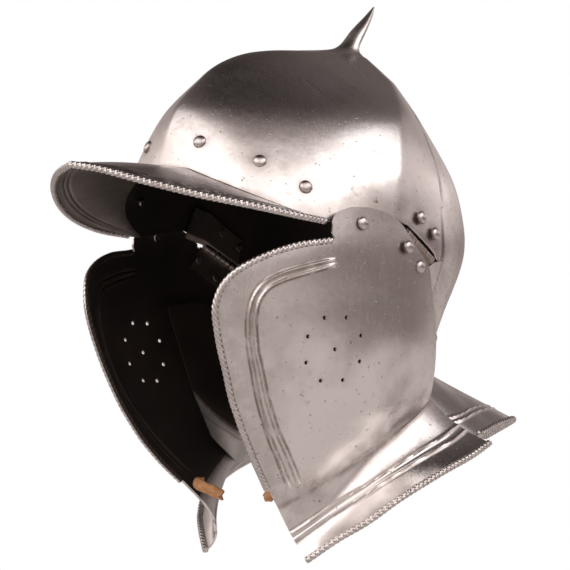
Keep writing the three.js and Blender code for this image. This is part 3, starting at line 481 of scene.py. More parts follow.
def wear_and_shade_group():
    """Worn steel with painted shade: colour, roughness and normal from the object's own coordinates and its
    masks; the dark mask holds grime and also painted shade in creases, grooves and beside raised lines.
    """
    g = bpy.data.node_groups.new("worn_steel_and_painted_shade", "ShaderNodeTree")
    sockets = (("Light", "INPUT", "Color"), ("Brown", "INPUT", "Color"), ("Rough", "INPUT", "Float"),
               ("Tarnish", "INPUT", "Float"), ("Color", "OUTPUT", "Color"), ("Roughness", "OUTPUT", "Float"),
               ("Normal", "OUTPUT", "Vector"))
    for name, way, kind in sockets:
        g.interface.new_socket(name, in_out=way, socket_type="NodeSocket" + kind)
    n, link = g.nodes, g.links.new
    gin, gout = n.new("NodeGroupInput"), n.new("NodeGroupOutput")
    coord = n.new("ShaderNodeTexCoord")

    def noise(scale, detail, stretch=(1, 1, 1), rough=0.55):
        m = n.new("ShaderNodeMapping")
        m.inputs["Scale"].default_value = stretch
        link(coord.outputs["Object"], m.inputs["Vector"])
        t = n.new("ShaderNodeTexNoise")
        t.inputs["Scale"].default_value = scale
        t.inputs["Detail"].default_value = detail
        t.inputs["Roughness"].default_value = rough
        link(m.outputs["Vector"], t.inputs["Vector"])
        return t.outputs["Fac"]

    def ramp(source, low, high, out_low=0.0, out_high=1.0):
        r = n.new("ShaderNodeMapRange")
        r.interpolation_type = "SMOOTHSTEP"
        for key, value in (("From Min", low), ("From Max", high), ("To Min", out_low), ("To Max", out_high)):
            r.inputs[key].default_value = value
        link(source, r.inputs["Value"])
        return r.outputs["Result"]

    def math_node(kind, a, b):
        m = n.new("ShaderNodeMath")
        m.operation = kind
        for k, v in enumerate((a, b)):
            if isinstance(v, (int, float)):
                m.inputs[k].default_value = v
            else:
                link(v, m.inputs[k])
        return m.outputs[0]

    cloud = ramp(noise(16, 5), 0.42, 0.66)
    speck = ramp(noise(330, 3), 0.655, 0.72)
    blot = ramp(noise(60, 6, rough=0.7), 0.58, 0.72)
    streak = noise(9, 7, (46, 46, 5), 0.7)
    fine = noise(700, 2, (1, 1, 0.07), 0.6)
    dark = n.new("ShaderNodeAttribute")
    dark.attribute_name = "dark"
    mark = n.new("ShaderNodeAttribute")
    mark.attribute_name = "mark"
    # The dark mask broken up by noise: grime, and painted shade in creases, grooves and beside raised lines
    grime_and_shade = math_node("MULTIPLY", dark.outputs["Fac"], ramp(noise(120, 5), 0.30, 0.62, 0.45, 1.0))
    stain_and_shade = math_node("MULTIPLY", math_node("MULTIPLY", cloud, 0.38), gin.outputs["Tarnish"])
    blotches = math_node("MULTIPLY", math_node("MULTIPLY", blot, 0.30), gin.outputs["Tarnish"])
    stain_and_shade = math_node("ADD", stain_and_shade, blotches)
    stain_and_shade = math_node("ADD", stain_and_shade, math_node("MULTIPLY", speck, 0.5))
    # Painted shade joins the stains here, through the dark mask
    stain_and_shade = math_node("MAXIMUM", stain_and_shade, grime_and_shade)
    stain_and_shade = math_node("MAXIMUM", stain_and_shade, math_node("MULTIPLY", mark.outputs["Fac"], 0.8))
    stain_and_shade = math_node("MINIMUM", stain_and_shade, 1.0)
    mix = n.new("ShaderNodeMix")
    mix.data_type = "RGBA"
    link(stain_and_shade, mix.inputs["Factor"])
    link(gin.outputs["Light"], mix.inputs[6])
    link(gin.outputs["Brown"], mix.inputs[7])
    link(mix.outputs[2], gout.inputs["Color"])
    rough = math_node("ADD", gin.outputs["Rough"], math_node("MULTIPLY", streak, 0.10))
    rough = math_node("ADD", rough, math_node("MULTIPLY", stain_and_shade, 0.22))
    link(rough, gout.inputs["Roughness"])
    height = math_node("ADD", math_node("MULTIPLY", fine, 0.35), math_node("MULTIPLY", streak, 0.5))
    height = math_node("ADD", height, math_node("MULTIPLY", speck, -0.9))
    height = math_node("ADD", height, math_node("MULTIPLY", noise(34, 3), 5.0))
    height = math_node("ADD", height, math_node("MULTIPLY", mark.outputs["Fac"], -3.0))
    bump = n.new("ShaderNodeBump")
    bump.inputs["Strength"].default_value = 0.32
    bump.inputs["Distance"].default_value = 0.0002
    link(height, bump.inputs["Height"])
    link(bump.outputs["Normal"], gout.inputs["Normal"])
    return g


WEAR_AND_SHADE = wear_and_shade_group()


def steel(name, light, brown, rough, tarnish, metal=1.0):
    material = bpy.data.materials.new(name)
    tree = tree_of(material)
    out = tree.nodes.new("ShaderNodeOutputMaterial")
    shader = tree.nodes.new("ShaderNodeBsdfPrincipled")
    shader.inputs["Metallic"].default_value = metal
    group = tree.nodes.new("ShaderNodeGroup")
    group.node_tree = WEAR_AND_SHADE
    group.inputs["Light"].default_value = (*light, 1)
    group.inputs["Brown"].default_value = (*brown, 1)
    group.inputs["Rough"].default_value = rough
    group.inputs["Tarnish"].default_value = tarnish
    tree.links.new(group.outputs["Color"], shader.inputs["Base Color"])
    tree.links.new(group.outputs["Roughness"], shader.inputs["Roughness"])
    tree.links.new(group.outputs["Normal"], shader.inputs["Normal"])
    tree.links.new(shader.outputs[0], out.inputs[0])
    return material


BRIGHT = steel("polished_steel", (0.83, 0.805, 0.795), (0.17, 0.115, 0.09), 0.17, 1.0)
# Inside finish, near black: the blackening of the real inside together with painted shade for the dark within
# the helmet
BLACK = steel("blackened_steel_and_painted_shade", (0.020, 0.016, 0.015), (0.05, 0.03, 0.02), 0.45, 1.0, 0.3)
FLARE = steel("filed_flare", (0.46, 0.44, 0.43), (0.12, 0.09, 0.07), 0.36, 1.0)
UNDER = steel("filed_steel", (0.20, 0.175, 0.16), (0.07, 0.05, 0.04), 0.42, 1.0)
RIVET = steel("rivet_steel", (0.62, 0.58, 0.57), (0.12, 0.08, 0.06), 0.20, 0.6)
HINGE = steel("hinge_steel", (0.42, 0.37, 0.34), (0.10, 0.06, 0.04), 0.30, 1.0)


def leather_material():
    material = bpy.data.materials.new("leather")
    tree = tree_of(material)
    out = tree.nodes.new("ShaderNodeOutputMaterial")
    shader = tree.nodes.new("ShaderNodeBsdfPrincipled")
    coord = tree.nodes.new("ShaderNodeTexCoord")
    grain = tree.nodes.new("ShaderNodeTexNoise")
    grain.inputs["Scale"].default_value = 260
    grain.inputs["Detail"].default_value = 6
    tree.links.new(coord.outputs["Object"], grain.inputs["Vector"])
    mix = tree.nodes.new("ShaderNodeMix")
    mix.data_type = "RGBA"
    mix.inputs[6].default_value = (0.24, 0.09, 0.032, 1)
    mix.inputs[7].default_value = (0.80, 0.44, 0.20, 1)
    tree.links.new(grain.outputs["Fac"], mix.inputs["Factor"])
    tree.links.new(mix.outputs[2], shader.inputs["Base Color"])
    shader.inputs["Roughness"].default_value = 0.7
    bump = tree.nodes.new("ShaderNodeBump")
    bump.inputs["Strength"].default_value = 0.6
    bump.inputs["Distance"].default_value = 0.0006
    tree.links.new(grain.outputs["Fac"], bump.inputs["Height"])
    tree.links.new(bump.outputs["Normal"], shader.inputs["Normal"])
    tree.links.new(shader.outputs[0], out.inputs[0])
    return material


LEATHER = leather_material()


# Hinge line, and the turn that opens a cheek piece round it
def side_point(turn, lift, inset):
    angle = math.radians(turn)
    return skull_point(angle, path_at_height(rim_height(angle) + lift), inset)


HINGE_TOP = side_point(HINGE_FROM, -HINGE_DROP, HINGE_INSET)
HINGE_END = side_point(HINGE_TO, -HINGE_DROP, HINGE_INSET)
HINGE_AXIS = unit(HINGE_END - HINGE_TOP)


def opened(degrees):
    turn = np.array(Matrix.Rotation(-math.radians(degrees), 3, Vector(HINGE_AXIS)))
    return lambda p: (p - HINGE_TOP) @ turn.T + HINGE_TOP


# Each side: name, sign of X, degrees that its cheek piece stands open, length of its leather stub
SIDES = (("left", 1, LEFT_OPEN, LEFT_STRAP), ("right", -1, RIGHT_OPEN, RIGHT_STRAP))

# Skull with its peak. One scratch by the spike, and stains as place, reach and depth of colour
SCRATCH = np.array([(37.8, -18.0, -24.3), (58.7, -16.7, -40.4)])
STAINS = (
    (59.4, -9.1, -39.2, 13, 0.6),
    (72.0, -68.8, -90.8, 11, 0.35),
    (29.1, -61.7, -34.4, 38, 0.42),
    (16.1, -36.3, -13.4, 24, 0.35),
)


def slot_height(angle):
    turn = np.abs(np.degrees(angle))
    return rim_height(angle) + SLOT_LIFT * ((turn > 95) & (turn < 110.5))


def add_bowl(part):
    turns = np.concatenate([np.arange(0, 113, 1.25), [113, 114, 115], np.arange(116.25, 180, 1.25)])
    turns = np.concatenate([turns, [180], -turns[1:][::-1]])
    angle = np.radians(turns)
    low = path_at_height(slot_height(angle))
    u = np.linspace(0, 1, 150)
    path = low[:, None] + (PATH_END - low)[:, None] * u
    outer = skull_point(angle[:, None], path)
    crown = path_at_height(CROWN_TOP - 0.02 * SKULL_HEIGHT)
    inner_path = low[:, None] + (crown - low)[:, None] * np.linspace(0, 1, 70)
    inner = skull_point(angle[:, None], inner_path, SKULL_WALL)
    dark = halo(outer, rivet_spots("brow", "hinge_rivet", "nape_rivet_1"), 7.0) * 0.75
    # Painted shade in a narrow band along the lower rim of the bowl, where it folds into the peak and the
    # other plates meet it
    seam = np.linalg.norm(outer[:, :1] - outer, axis=-1)
    dark = np.maximum(dark, 0.5 * np.exp(-((seam / 3.0) ** 2)))
    scratch, _ = nearest(outer, SCRATCH)
    mark = np.exp(-((scratch / 0.9) ** 2)) * 0.9
    for x, y, z, reach, depth in STAINS:
        away = np.linalg.norm(outer - np.array([x, y, z]), axis=-1)
        dark = np.maximum(dark, depth * np.exp(-((away / reach) ** 2)))
    n, m = outer.shape[:2]
    part.add(outer, grid_faces(n, m, 0, True, False), 0, dark, mark)
    start = part.count
    k = inner.shape[1]
    part.add(inner, grid_faces(n, k, 0, True, True), 1)
    i = np.arange(n)
    j = (i + 1) % n
    rim = np.stack([i * m, start + i * k, start + j * k, j * m], axis=-1)
    part.faces += rim.tolist()
    part.finish += [0] * n
    part.faces.append((start + i * k + k - 1).tolist())
    part.finish.append(1)


def add_peak(part):
    share = np.linspace(-1, 1, 220)
    angle = share * math.radians(PEAK_TURN)
    fold = skull_point(angle, path_at_height(rim_height(angle)), SKULL_WALL / 2)
    edge = peak_edge(share)
    t = np.linspace(0, 1, 70)
    grid = fold[:, None] + (edge - fold)[:, None] * t[None, :, None]
    grid[..., 2] += 6 * t * (1 - t) * (1 - share[:, None] ** 2)
    away = np.linalg.norm(grid - edge[:, None], axis=-1)
    normal = grid_normals(grid)
    normal *= np.sign(normal[..., 2:3])
    lift = bead(away - 7.5, 0.8, 0.75) + bead(away - 11.0, 0.8, 0.75)
    # Painted shade: along the fold into the skull, in the groove just inside the rope and between the two
    # raised lines
    dark = bead(np.linalg.norm(grid - fold[:, None], axis=-1), 3.5, 0.5) + bead(away - 3.2, 1.0, 0.6)
    dark = np.maximum(dark, bead(away - 9.2, 0.9, 0.55))
    top = grid + normal * lift[..., None]
    turned = grid_normals(top)[..., 2].mean()
    under = grid + normal * (lift - PEAK_WALL)[..., None]
    part.shell(top, under, 1 if turned > 0 else -1, dark, finish=(0, 2, 0))
    line = edge.copy()
    line[:, 2] -= PEAK_WALL / 2
    part.rope(line, ROPE_RADIUS)


def add_corners(part):
    """The corners of the skull under the cheek pieces, and the notched edges of its hinge slots."""
    turn = np.linspace(107, 114.6, 10)
    top = np.interp(turn, [107, 110, 114.6], [-148, -144, -142.5])
    z = top[:, None] + (-184 - top)[:, None] * np.linspace(0, 1, 14)
    for side in (1, -1):
        corner = skull_point(np.radians(turn)[:, None], path_at_height(z), 0.15) * [side, 1, 1]
        inside = skull_point(np.radians(turn)[:, None], path_at_height(z), SKULL_WALL) * [side, 1, 1]
        out = np.sign((grid_normals(corner)[..., 0]).mean()) * side
        part.shell(corner, inside, out, 0.25)
        slot = np.radians(np.linspace(95.4, 110, 40))
        edge = skull_point(slot, path_at_height(slot_height(slot)), SKULL_WALL / 2 - 0.3) * [side, 1, 1]
        part.rope(edge, 0.85, pitch=0.95, sides=12)


def make_skull():
    part = Part()
    add_bowl(part)
    add_peak(part)
    add_corners(part)
    obj = part.build("skull_look", [BRIGHT, BLACK, UNDER], "helmet", "polished_steel")
    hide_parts("skull")


make_skull()


# Nape plate
def make_nape():
    part = Part()
    turns = np.concatenate([np.linspace(74, 180, 130), -np.linspace(74, 180, 130)[:-1][::-1]])
    share = np.concatenate([np.linspace(0, 2, 60), np.linspace(2, 3, 60)[1:]])
    grid = nape_point(turns[:, None], share[None, :])
    normal = grid_normals(grid)
    centre = grid - [0, 20, 0]
    outwards = np.sign((normal[:, :40] * centre[:, :40] * [1, 1, 0]).sum())
    normal *= outwards
    flare = np.clip(share - 2, 0, 1)[None, :]
    length = np.linalg.norm(grid[:, -1] - grid[:, 59], axis=-1)[:, None]
    away = (1 - flare) * length
    lift = (bead(away - 15, 0.9, 0.75) + bead(away - 19, 0.9, 0.75)) * (flare > 0)
    lift = lift * np.clip((np.abs(turns)[:, None] - 95) / 12, 0, 1)
    # Painted shade along the crease where the plate flares out and in the groove between its two raised lines
    dark = bead(flare * length, 3.5, 0.7) * (share > 1.8) + bead(away - 17, 1.0, 0.5)
    dark = np.maximum(dark, halo(grid, rivet_spots("nape"), 6.0) * 0.7)
    outer, inner = grid + normal * lift[..., None], grid + normal * (lift - NAPE_WALL)[..., None]
    part.shell(outer, inner, outwards, dark, finish=(0, 1, 1), lit_from=58)
    line = nape_point(turns[np.abs(turns) > 134], 3.0)
    line[:, 2] -= NAPE_WALL / 2
    part.rope(line, ROPE_RADIUS)
    obj = part.build("nape_plate_look", [BRIGHT, BLACK, FLARE], "helmet", "polished_steel")
    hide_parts("nape_plate")


make_nape()


# Cheek pieces
def cutter(centre, axis, radius, length, sides=20):
    a = np.linspace(0, 2 * np.pi, sides, endpoint=False)
    ref = unit(np.cross(axis, [0.2, 0.5, 0.8]))
    up = np.cross(axis, ref)
    ring = radius * (np.cos(a)[:, None] * ref + np.sin(a)[:, None] * up)
    points = np.concatenate([centre + ring - axis * length / 2, centre + ring + axis * length / 2])
    faces = [[i, (i + 1) % sides, sides + (i + 1) % sides, sides + i] for i in range(sides)]
    return points, faces + [list(range(sides))[::-1], [sides + i for i in range(sides)]]


def drill_holes(obj, tools):
    points, faces, count = [], [], 0
    for p, f in tools:
        points += (p / 1000).tolist()
        faces += [[i + count for i in face] for face in f]
        count += len(p)
    mesh = bpy.data.meshes.new("drill")
    mesh.from_pydata(points, [], faces)
    tool = bpy.data.objects.new("drill", mesh)
    bpy.context.scene.collection.objects.link(tool)
    change = obj.modifiers.new("holes", "BOOLEAN")
    change.operation, change.solver, change.object = "DIFFERENCE", "EXACT", tool
    bpy.context.view_layer.update()
    made = bpy.data.meshes.new_from_object(obj.evaluated_get(bpy.context.evaluated_depsgraph_get()))
    obj.modifiers.clear()
    old = obj.data
    obj.data = made
    bpy.data.meshes.remove(old)
    bpy.data.objects.remove(tool)


def make_cheek():
    part = Part()
    last = len(CHEEK_ROWS) - 1
    t = np.concatenate([np.linspace(0, 0.36, 115), np.linspace(0.36, 1, 30)[1:]])
    v = np.concatenate([np.linspace(0, 4.4, 20), np.linspace(4.4, 8, 95)[1:], np.linspace(8, last, 62)[1:]])
    s = np.linspace(0, 1, 60)[1:]
    plate = cheek_point(v[None, :], t[:, None])
    flare = flange_point(t[:, None], s[None, :])
    grid = np.concatenate([plate, flare], axis=1)
    normal = grid_normals(grid)
    outwards = 1 if normal[..., 0].mean() > 0 else -1
    normal *= outwards
    rib = smooth(RIB_ROWS, np.arange(len(RIB_ROWS), dtype=float), np.linspace(0, len(RIB_ROWS) - 1, 97))
    ends = on_tube(rib[:, 0] * CHEEK_REACH, LOBE_TOP - rib[:, 1] * CHEEK_DROP)
    d, place = nearest(grid, ends)
    half = np.interp(place, np.arange(97), rib[:, 2])
    fade = np.clip(place / 7, 0, 1) * np.clip((96 - place) / 3 + 0.3, 0, 1)
    lift = (bead(d - half, RIB_WIDTH, RIB_HEIGHT) + 0.25 * (1 / (1 + np.exp((d - half) * 3)))) * fade
    lift[:, len(v):] = 0
    length = np.linalg.norm(flare[:, -1] - plate[:, -1], axis=-1)[:, None]
    down = np.concatenate([np.zeros((len(t), len(v))), np.broadcast_to(s, (len(t), len(s)))], axis=1)
    upper = np.interp(t, [0, 0.33, 0.62, 1], [0.42, 0.41, 0.47, 0.52])[:, None]
    lower = upper + STEP_APART
    steps = [bead((down - line) * length, STEP_WIDTH, STEP_HEIGHT) for line in (upper, lower)]
    lift = lift + sum(steps) * (down > 0)
    crease = np.linalg.norm(grid - grid[:, len(v) - 1:len(v)], axis=-1)
    dark = bead(crease, 3.2, 0.65)
    # Painted shade on both sides of the double rib
    dark = np.maximum(dark, bead(d - half - 1.5, 0.9, 0.95) * fade)
    dark = np.maximum(dark, bead(d - half + 1.5, 0.9, 0.80) * fade)
    # Painted shade: the plate darker towards its front edge
    border = np.clip(1 - t / 0.11, 0, 1)[:, None] * (down == 0)
    dark = np.maximum(dark, 0.40 * border ** 0.5)
    # Painted shade beside the two raised step lines of the flange
    dark = np.maximum(dark, (bead((down - upper) * length + 1.7, 0.9, 0.75)
                             + bead((down - lower) * length - 1.7, 0.9, 0.75)) * (down > 0))
    shut = np.array(Matrix.Rotation(math.radians(LEFT_OPEN), 3, Vector(HINGE_AXIS)))
    spots = [(c - HINGE_TOP) @ shut.T + HINGE_TOP for c in rivet_spots("left_cheek_rivet", "left_lobe")]
    dark = np.maximum(dark, halo(grid, spots, 6.5) * 0.8)
    y, z = -ROSETTE_AHEAD * CHEEK_REACH, LOBE_TOP - ROSETTE_FALL * CHEEK_DROP
    centre, out = on_tube(y, z), tube_normal(y, z)
    up = unit(np.array([0, 0, 1]) - out * out[2])
    across = np.cross(out, up)
    spots = [centre] + [centre + ROSETTE_RADIUS * (math.sin(a) * across + math.cos(a) * up)
                        for a in np.radians(22.5 + 45 * np.arange(8))]
    dark = np.maximum(dark, halo(grid, [p - out * 2 for p in spots], 2.6) * 0.4)
    outer, inner = grid + normal * lift[..., None], grid + normal * (lift - CHEEK_WALL)[..., None]
    part.shell(outer, inner, outwards, dark, lit_from=len(v) - 1)
    tools = [cutter(p, out, ROSETTE_HOLE, 24) for p in spots]
    reach = np.linalg.norm(HINGE_END - HINGE_TOP)
    middle = (HINGE_TOP + HINGE_END) / 2 - HINGE_AXIS * 0.01 * reach
    tools.append(cutter(middle, HINGE_AXIS, KNUCKLE_RADIUS + 0.7, 1.22 * reach, 28))
    ropes = Part()
    front = cheek_point(np.linspace(4, 12.6, 200), 0.0)
    bottom = flange_point(np.linspace(0, 1, 120), 1.0)
    for line in (front, bottom):
        line[:, 0] -= CHEEK_WALL / 2
    ropes.rope(front, ROPE_RADIUS, inward=lambda p: -tube_normal(p[:, 1], p[:, 2]) + [0, 0.35, 0])
    ropes.rope(bottom, ROPE_RADIUS, lean=-1)
    return part, ropes, tools


plain, ropes, tools = make_cheek()
for name, side, degrees, _ in SIDES:
    place = opened(degrees)
    made = []
    for source, label in ((plain, "look"), (ropes, "ropes")):
        twin = source.copied(1).moved(place).copied(side)
        finishes = [BRIGHT, BLACK, FLARE]
        made.append(twin.build(f"{name}_cheek_{label}", finishes, f"{name}_cheek_piece", "polished_steel"))
    drills = [(place(p) * [side, 1, 1], [face[::side] for face in f]) for p, f in tools]
    drill_holes(made[0], drills)
    made[0].data.set_sharp_from_angle(angle=math.radians(35))
    for obj in made:
        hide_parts(f"{name}_cheek")


# Rivets
def make_rivet(name, centre, axis, low):
    """Domed head, shank, and the burr it is closed with on the inside, low along the axis."""
    slopes = np.linspace(0, math.pi / 2, 9)[1:]
    dome = [(RIVET_RADIUS * math.sin(a), RIVET_RISE * math.cos(a)) for a in slopes]
    profile = dome + [(RIVET_RADIUS - 0.3, -0.45), (SHANK_RADIUS, -0.45), (SHANK_RADIUS, low + 1.0)]
    profile += [(2.8, low + 0.9), (2.3, low + 0.1)]
    sides = 28
    a = np.linspace(0, 2 * np.pi, sides, endpoint=False)
    ref = unit(np.cross(axis, [0.3, 0.4, 0.85]))
    up = np.cross(axis, ref)
    rings = [centre + axis * h + r * (np.cos(a)[:, None] * ref + np.sin(a)[:, None] * up) for r, h in profile]
    points = np.concatenate(rings + [[centre + axis * RIVET_RISE], [centre + axis * low]])
    top, end = len(points) - 2, len(points) - 1
    faces = []
    for i in range(sides):
        j = (i + 1) % sides
        faces.append([top, i, j])
        for k in range(len(profile) - 1):
            faces.append([k * sides + i, (k + 1) * sides + i, (k + 1) * sides + j, k * sides + j])
        base = (len(profile) - 1) * sides
        faces.append([end, base + j, base + i])
    part = Part()
    part.points, part.faces, part.finish = [points], faces, [0] * len(faces)
    rim = np.concatenate([np.full(sides, 0.75 if 5 <= k else 0.0) for k in range(len(profile))] + [[0, 0]])
    part.dark, part.mark, part.count = [rim], [np.zeros(len(points))], len(points)
    body = "helmet" if "cheek" not in name and "lobe" not in name else name.split("_")[0] + "_cheek_piece"
    obj = part.build(name + "_look", [RIVET], body, "rivet_steel", 50)
    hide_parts(name)


for name, (centre, axis, low) in rivets.items():
    make_rivet(name, centre, axis, low)


# Hinges: each leaf with its rolled knuckles
def barrel(part, start, end, radius, grooves=()):
    """Rounded barrel along the hinge line between two shares of it, with narrow grooves."""
    length = np.linalg.norm(HINGE_END - HINGE_TOP)
    lo, hi = start * length, end * length
    profile = [(0.0, lo), (radius - 0.5, lo), (radius, lo + 0.5)]
    for g in grooves:
        at, deep = g * length, radius - 0.6
        profile += [(radius, at - 0.45), (deep, at - 0.15), (deep, at + 0.15), (radius, at + 0.45)]
    profile += [(radius, hi - 0.5), (radius - 0.5, hi), (0.0, hi)]
    a = np.linspace(0, 2 * np.pi, 24, endpoint=False)
    ref = unit(np.cross(HINGE_AXIS, [0.1, 0.2, 0.9]))
    up = np.cross(HINGE_AXIS, ref)
    ring = np.cos(a)[:, None] * ref + np.sin(a)[:, None] * up
    grid = np.array([HINGE_TOP + HINGE_AXIS * h + max(r, 0.01) * ring for r, h in profile])
    grid = np.concatenate([grid, grid[:, :1]], axis=1)
    # Painted shade in the grooves between the knuckles
    dark = np.array([0.75 if r < radius else 0.15 for r, h in profile])[:, None] * np.ones((1, 25))
    part.add(grid, grid_faces(*grid.shape[:2], 0, False, True), 0, dark)


def make_leaves():
    skull_leaf, cheek_leaf = Part(), Part()
    depth = SKULL_WALL + CLEARANCE
    turn = np.linspace(87.5, 108.8, 34)[:, None]
    level = np.linspace(0, 2, 22)[None, :]
    lift = np.interp(level, [0, 1, 2], [-HINGE_DROP, -1.0, 17.5])
    lean = turn - 0.8 * np.clip(2 - level, 0, 1)
    angle = np.radians(lean)
    grid = skull_point(angle, path_at_height(rim_height(angle) + lift), 0.0)
    inset = np.interp(level, [0, 1, 2], [depth, depth + 1.1, depth + 1.1]) * np.ones_like(turn)
    normal = grid_normals(grid)
    out = np.sign(normal[..., 0].mean())
    normal *= out
    outer, inner = grid - normal * inset[..., None], grid - normal * (inset + LEAF_WALL)[..., None]
    skull_leaf.shell(outer, inner, out, 0.4)
    barrel(skull_leaf, 0, 0.295, KNUCKLE_RADIUS, [0.15])
    barrel(skull_leaf, 0.705, 1, KNUCKLE_RADIUS, [0.85])
    down = unit(np.array([0, HINGE_AXIS[2], -HINGE_AXIS[1]]))
    length = np.linalg.norm(HINGE_END - HINGE_TOP)
    along = np.linspace(-0.06, 0.94, 24)[:, None, None] * length
    away = np.linspace(1.9, 19, 20)[None, :, None]
    place = HINGE_TOP + HINGE_AXIS * along + down * away
    y, z = place[..., 1], place[..., 2]
    grid, normal = on_tube(y, z), tube_normal(y, z)
    out = np.sign((grid_normals(grid) * normal).sum())
    inset = CHEEK_WALL + 0.66
    cheek_leaf.shell(grid - normal * inset, grid - normal * (inset + LEAF_WALL), out, 0.4)
    barrel(cheek_leaf, 0.312, 0.688, KNUCKLE_RADIUS, [0.437, 0.563])
    return skull_leaf, cheek_leaf


skull_leaf, cheek_leaf = make_leaves()
for name, side, degrees, _ in SIDES:
    obj = skull_leaf.copied(side).build(f"{name}_skull_leaf", [HINGE], "helmet", "hinge_steel")
    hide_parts(f"{name}_hinge_leaf")
    turned = cheek_leaf.copied(1).moved(opened(degrees)).copied(side)
    obj = turned.build(f"{name}_side_leaf", [HINGE], f"{name}_cheek_piece", "hinge_steel")
    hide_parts(f"{name}_cheek_leaf")


# Leather stubs
def make_strap(length, seed):
    """Curled across, rippled along and frayed at the torn end."""
    across = unit(np.array([-0.18, -0.25, 0.95]))
    z = LOBE_TOP - 0.94 * CHEEK_DROP
    inset = ROPE_RADIUS + CHEEK_WALL + 3 * CLEARANCE

    def within(share):
        y = share * CHEEK_REACH
        return on_tube(y, z) - tube_normal(y, z) * inset

    root, bend = within(-0.36), within(-0.45)
    tip = bend + unit(np.array([-0.9, 0.35, -0.35])) * length
    s = np.linspace(0, 1, 46)
    total = np.linalg.norm(bend - root) + length
    knee = np.linalg.norm(bend - root) / total
    line = np.stack([np.interp(s, [0, knee, 1], [root[k], bend[k], tip[k]]) for k in range(3)], axis=-1)
    for _ in range(14):
        line[1:-1] = (line[:-2] + 2 * line[1:-1] + line[2:]) / 4
    along = unit(np.gradient(line, axis=0))
    out = unit(np.cross(across, along))
    side = np.cross(along, out)
    a = np.linspace(0, 2 * np.pi, 33)
    rng = np.random.default_rng(seed)
    wave = rng.uniform(0, 6.28, 6)
    c = np.sign(np.cos(a)) * np.abs(np.cos(a)) ** 0.5
    h = np.sign(np.sin(a)) * np.abs(np.sin(a)) ** 0.6
    curl = (1.2 + 1.6 * s)[:, None] * (1 - c[None, :] ** 2)
    ripple = (0.22 * np.sin(17 * s[:, None] + wave[0] + 2 * c)
              + 0.16 * np.sin(39 * s[:, None] + wave[1] - 3 * c))
    narrow = (1 - 0.10 * s + 0.04 * np.sin(23 * s + wave[2]))[:, None]
    fray = 0.9 * np.sin(5 * c + wave[3]) + 0.6 * np.sin(11 * c + wave[4])
    grid = (line[:, None] + side[:, None] * (c * STRAP_HALF * narrow)[..., None]
            + out[:, None] * (h * STRAP_THICK + curl - 1.4 + ripple)[..., None])
    grid += along[:, None] * (fray * np.clip((s[:, None] - 0.8) / 0.2, 0, 1))[..., None]
    ends = [end.mean(axis=1, keepdims=True) * 0.9 + end * 0.1 for end in (grid[:1], grid[-1:])]
    grid = np.concatenate([ends[0], grid, ends[1]])
    part = Part()
    part.add(grid, grid_faces(*grid.shape[:2], 0, False, False), 0)
    return part


for (name, side, degrees, length), seed in zip(SIDES, (3, 8)):
    strap = make_strap(length, seed).moved(opened(degrees)).copied(side)
    obj = strap.build(f"{name}_leather_stub", [LEATHER], f"{name}_cheek_piece", "leather", 60)
    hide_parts(f"{name}_strap")

for name in ("left_hinge_pin", "right_hinge_pin"):
    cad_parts[name].data.materials.clear()
    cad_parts[name].data.materials.append(HINGE)

# Studio, in metres: pale floor far below, soft lights, and the camera where the picture was taken from
WHITE = (1, 1, 1, 1)


def white_floor():
    material = bpy.data.materials.new("floor")
    tree = tree_of(material)
    out = tree.nodes.new("ShaderNodeOutputMaterial")
    path = tree.nodes.new("ShaderNodeLightPath")
    glow = tree.nodes.new("ShaderNodeEmission")
    glow.inputs["Color"].default_value = WHITE
    plain = tree.nodes.new("ShaderNodeBsdfDiffuse")
    plain.inputs["Color"].default_value = (0.8, 0.78, 0.77, 1)
    mix = tree.nodes.new("ShaderNodeMixShader")
    tree.links.new(path.outputs["Is Camera Ray"], mix.inputs[0])
    tree.links.new(plain.outputs[0], mix.inputs[1])
    tree.links.new(glow.outputs[0], mix.inputs[2])
    tree.links.new(mix.outputs[0], out.inputs[0])
    return material


bpy.ops.mesh.primitive_plane_add(size=12, location=(0, 0, -0.62))
floor = bpy.context.active_object
floor.data.materials.append(white_floor())

world = bpy.data.worlds.new("studio")
bpy.context.scene.world = world
world.use_nodes = True
tree = world.node_tree
tree.nodes.clear()
out = tree.nodes.new("ShaderNodeOutputWorld")
seen_by_camera = tree.nodes.new("ShaderNodeBackground")
seen_by_camera.inputs["Color"].default_value = WHITE
room = tree.nodes.new("ShaderNodeBackground")
room.inputs["Strength"].default_value = 2.2
sky = tree.nodes.new("ShaderNodeTexCoord")


def sky_curve(direction, stops):
    """Light of the room along one direction, from -1 to 1, warmer where it is dim."""
    dot = tree.nodes.new("ShaderNodeVectorMath")
    dot.operation = "DOT_PRODUCT"
    dot.inputs[1].default_value = direction
    place = tree.nodes.new("ShaderNodeMapRange")
    place.inputs["From Min"].default_value = -1
    ramp = tree.nodes.new("ShaderNodeValToRGB")
    ramp.color_ramp.interpolation = "EASE"
    for k, (at, value) in enumerate(stops):
        stop = ramp.color_ramp.elements[k] if k < 2 else ramp.color_ramp.elements.new((at + 1) / 2)
        stop.position = (at + 1) / 2
        warm = (0.86 + 0.12 * value, 0.83 + 0.14 * value)
        stop.color = (value, value * warm[0], value * warm[1], 1)
    tree.links.new(sky.outputs["Generated"], dot.inputs[0])
    tree.links.new(dot.outputs["Value"], place.inputs["Value"])
    tree.links.new(place.outputs["Result"], ramp.inputs["Fac"])
    return ramp.outputs["Color"]


def product(a, b):
    mix = tree.nodes.new("ShaderNodeMix")
    mix.data_type, mix.blend_type = "RGBA", "MULTIPLY"
    mix.inputs["Factor"].default_value = 1
    tree.links.new(a, mix.inputs[6])
    tree.links.new(b, mix.inputs[7])
    return mix.outputs[2]


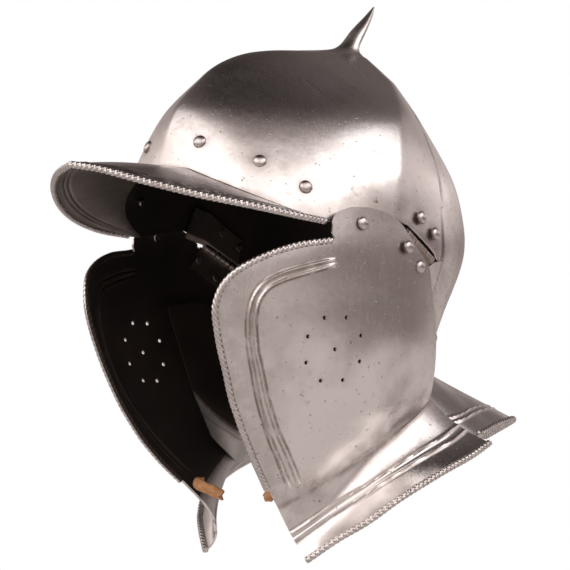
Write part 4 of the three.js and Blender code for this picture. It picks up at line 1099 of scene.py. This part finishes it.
# Bright round the sides with a dim strip level with the helmet, and dark overhead and behind
height = sky_curve((0, 0, 1), [(-1, 0.45), (1, 0.25), (-0.5, 0.80), (-0.22, 0.95), (-0.08, 0.24),
                               (0.06, 0.24), (0.24, 0.95), (0.80, 1.0), (0.95, 0.40)])
across = sky_curve((0.691, 0.723, 0), [(-1, 0.9), (1, 0.30), (-0.35, 1.0), (0.0, 0.62), (0.3, 1.0),
                                       (0.7, 0.85)])
overhead = sky_curve((-0.323, 0.309, 0.894), [(-1, 0.75), (1, 0.04), (0.0, 0.80), (0.28, 1.0), (0.46, 0.66),
                                              (0.66, 0.22), (0.84, 0.07)])
tree.links.new(product(product(height, across), overhead), room.inputs["Color"])
path = tree.nodes.new("ShaderNodeLightPath")
mix = tree.nodes.new("ShaderNodeMixShader")
tree.links.new(path.outputs["Is Camera Ray"], mix.inputs[0])
tree.links.new(room.outputs[0], mix.inputs[1])
tree.links.new(seen_by_camera.outputs[0], mix.inputs[2])
tree.links.new(mix.outputs[0], out.inputs[0])

TARGET = Vector((0, 0, -0.157))


def aim(obj, turn, rise, distance):
    """Places a lamp or the camera so many degrees round and up, looking at the middle of the helmet."""
    bpy.context.scene.collection.objects.link(obj)
    a, e = math.radians(turn), math.radians(rise)
    back = Vector((math.sin(a) * math.cos(e), -math.cos(a) * math.cos(e), math.sin(e)))
    obj.location = TARGET + back * distance
    obj.rotation_mode = "QUATERNION"
    obj.rotation_quaternion = back.to_track_quat("Z", "Y")


def softbox(name, turn, rise, distance, width, height, power):
    light = bpy.data.lights.new(name, "AREA")
    light.shape, light.size, light.size_y = "RECTANGLE", width, height
    light.energy, light.color = power, (1, 0.98, 0.97)
    obj = bpy.data.objects.new(name, light)
    aim(obj, turn, rise, distance)
    obj.visible_camera = False


softbox("key_left", -22, 46, 1.7, 0.9, 0.8, 1.4)
softbox("fill_right", 122, 40, 1.9, 1.2, 1.0, 4)
softbox("low_front", 30, -18, 2.0, 1.6, 0.5, 1.0)

camera = bpy.data.cameras.new("camera")
camera.sensor_width, camera.lens = 36, 170.526
eye = bpy.data.objects.new("camera", camera)
aim(eye, 46.3, -2.8, 1.8)
bpy.context.scene.camera = eye
bpy.context.scene.view_settings.view_transform = "Standard"
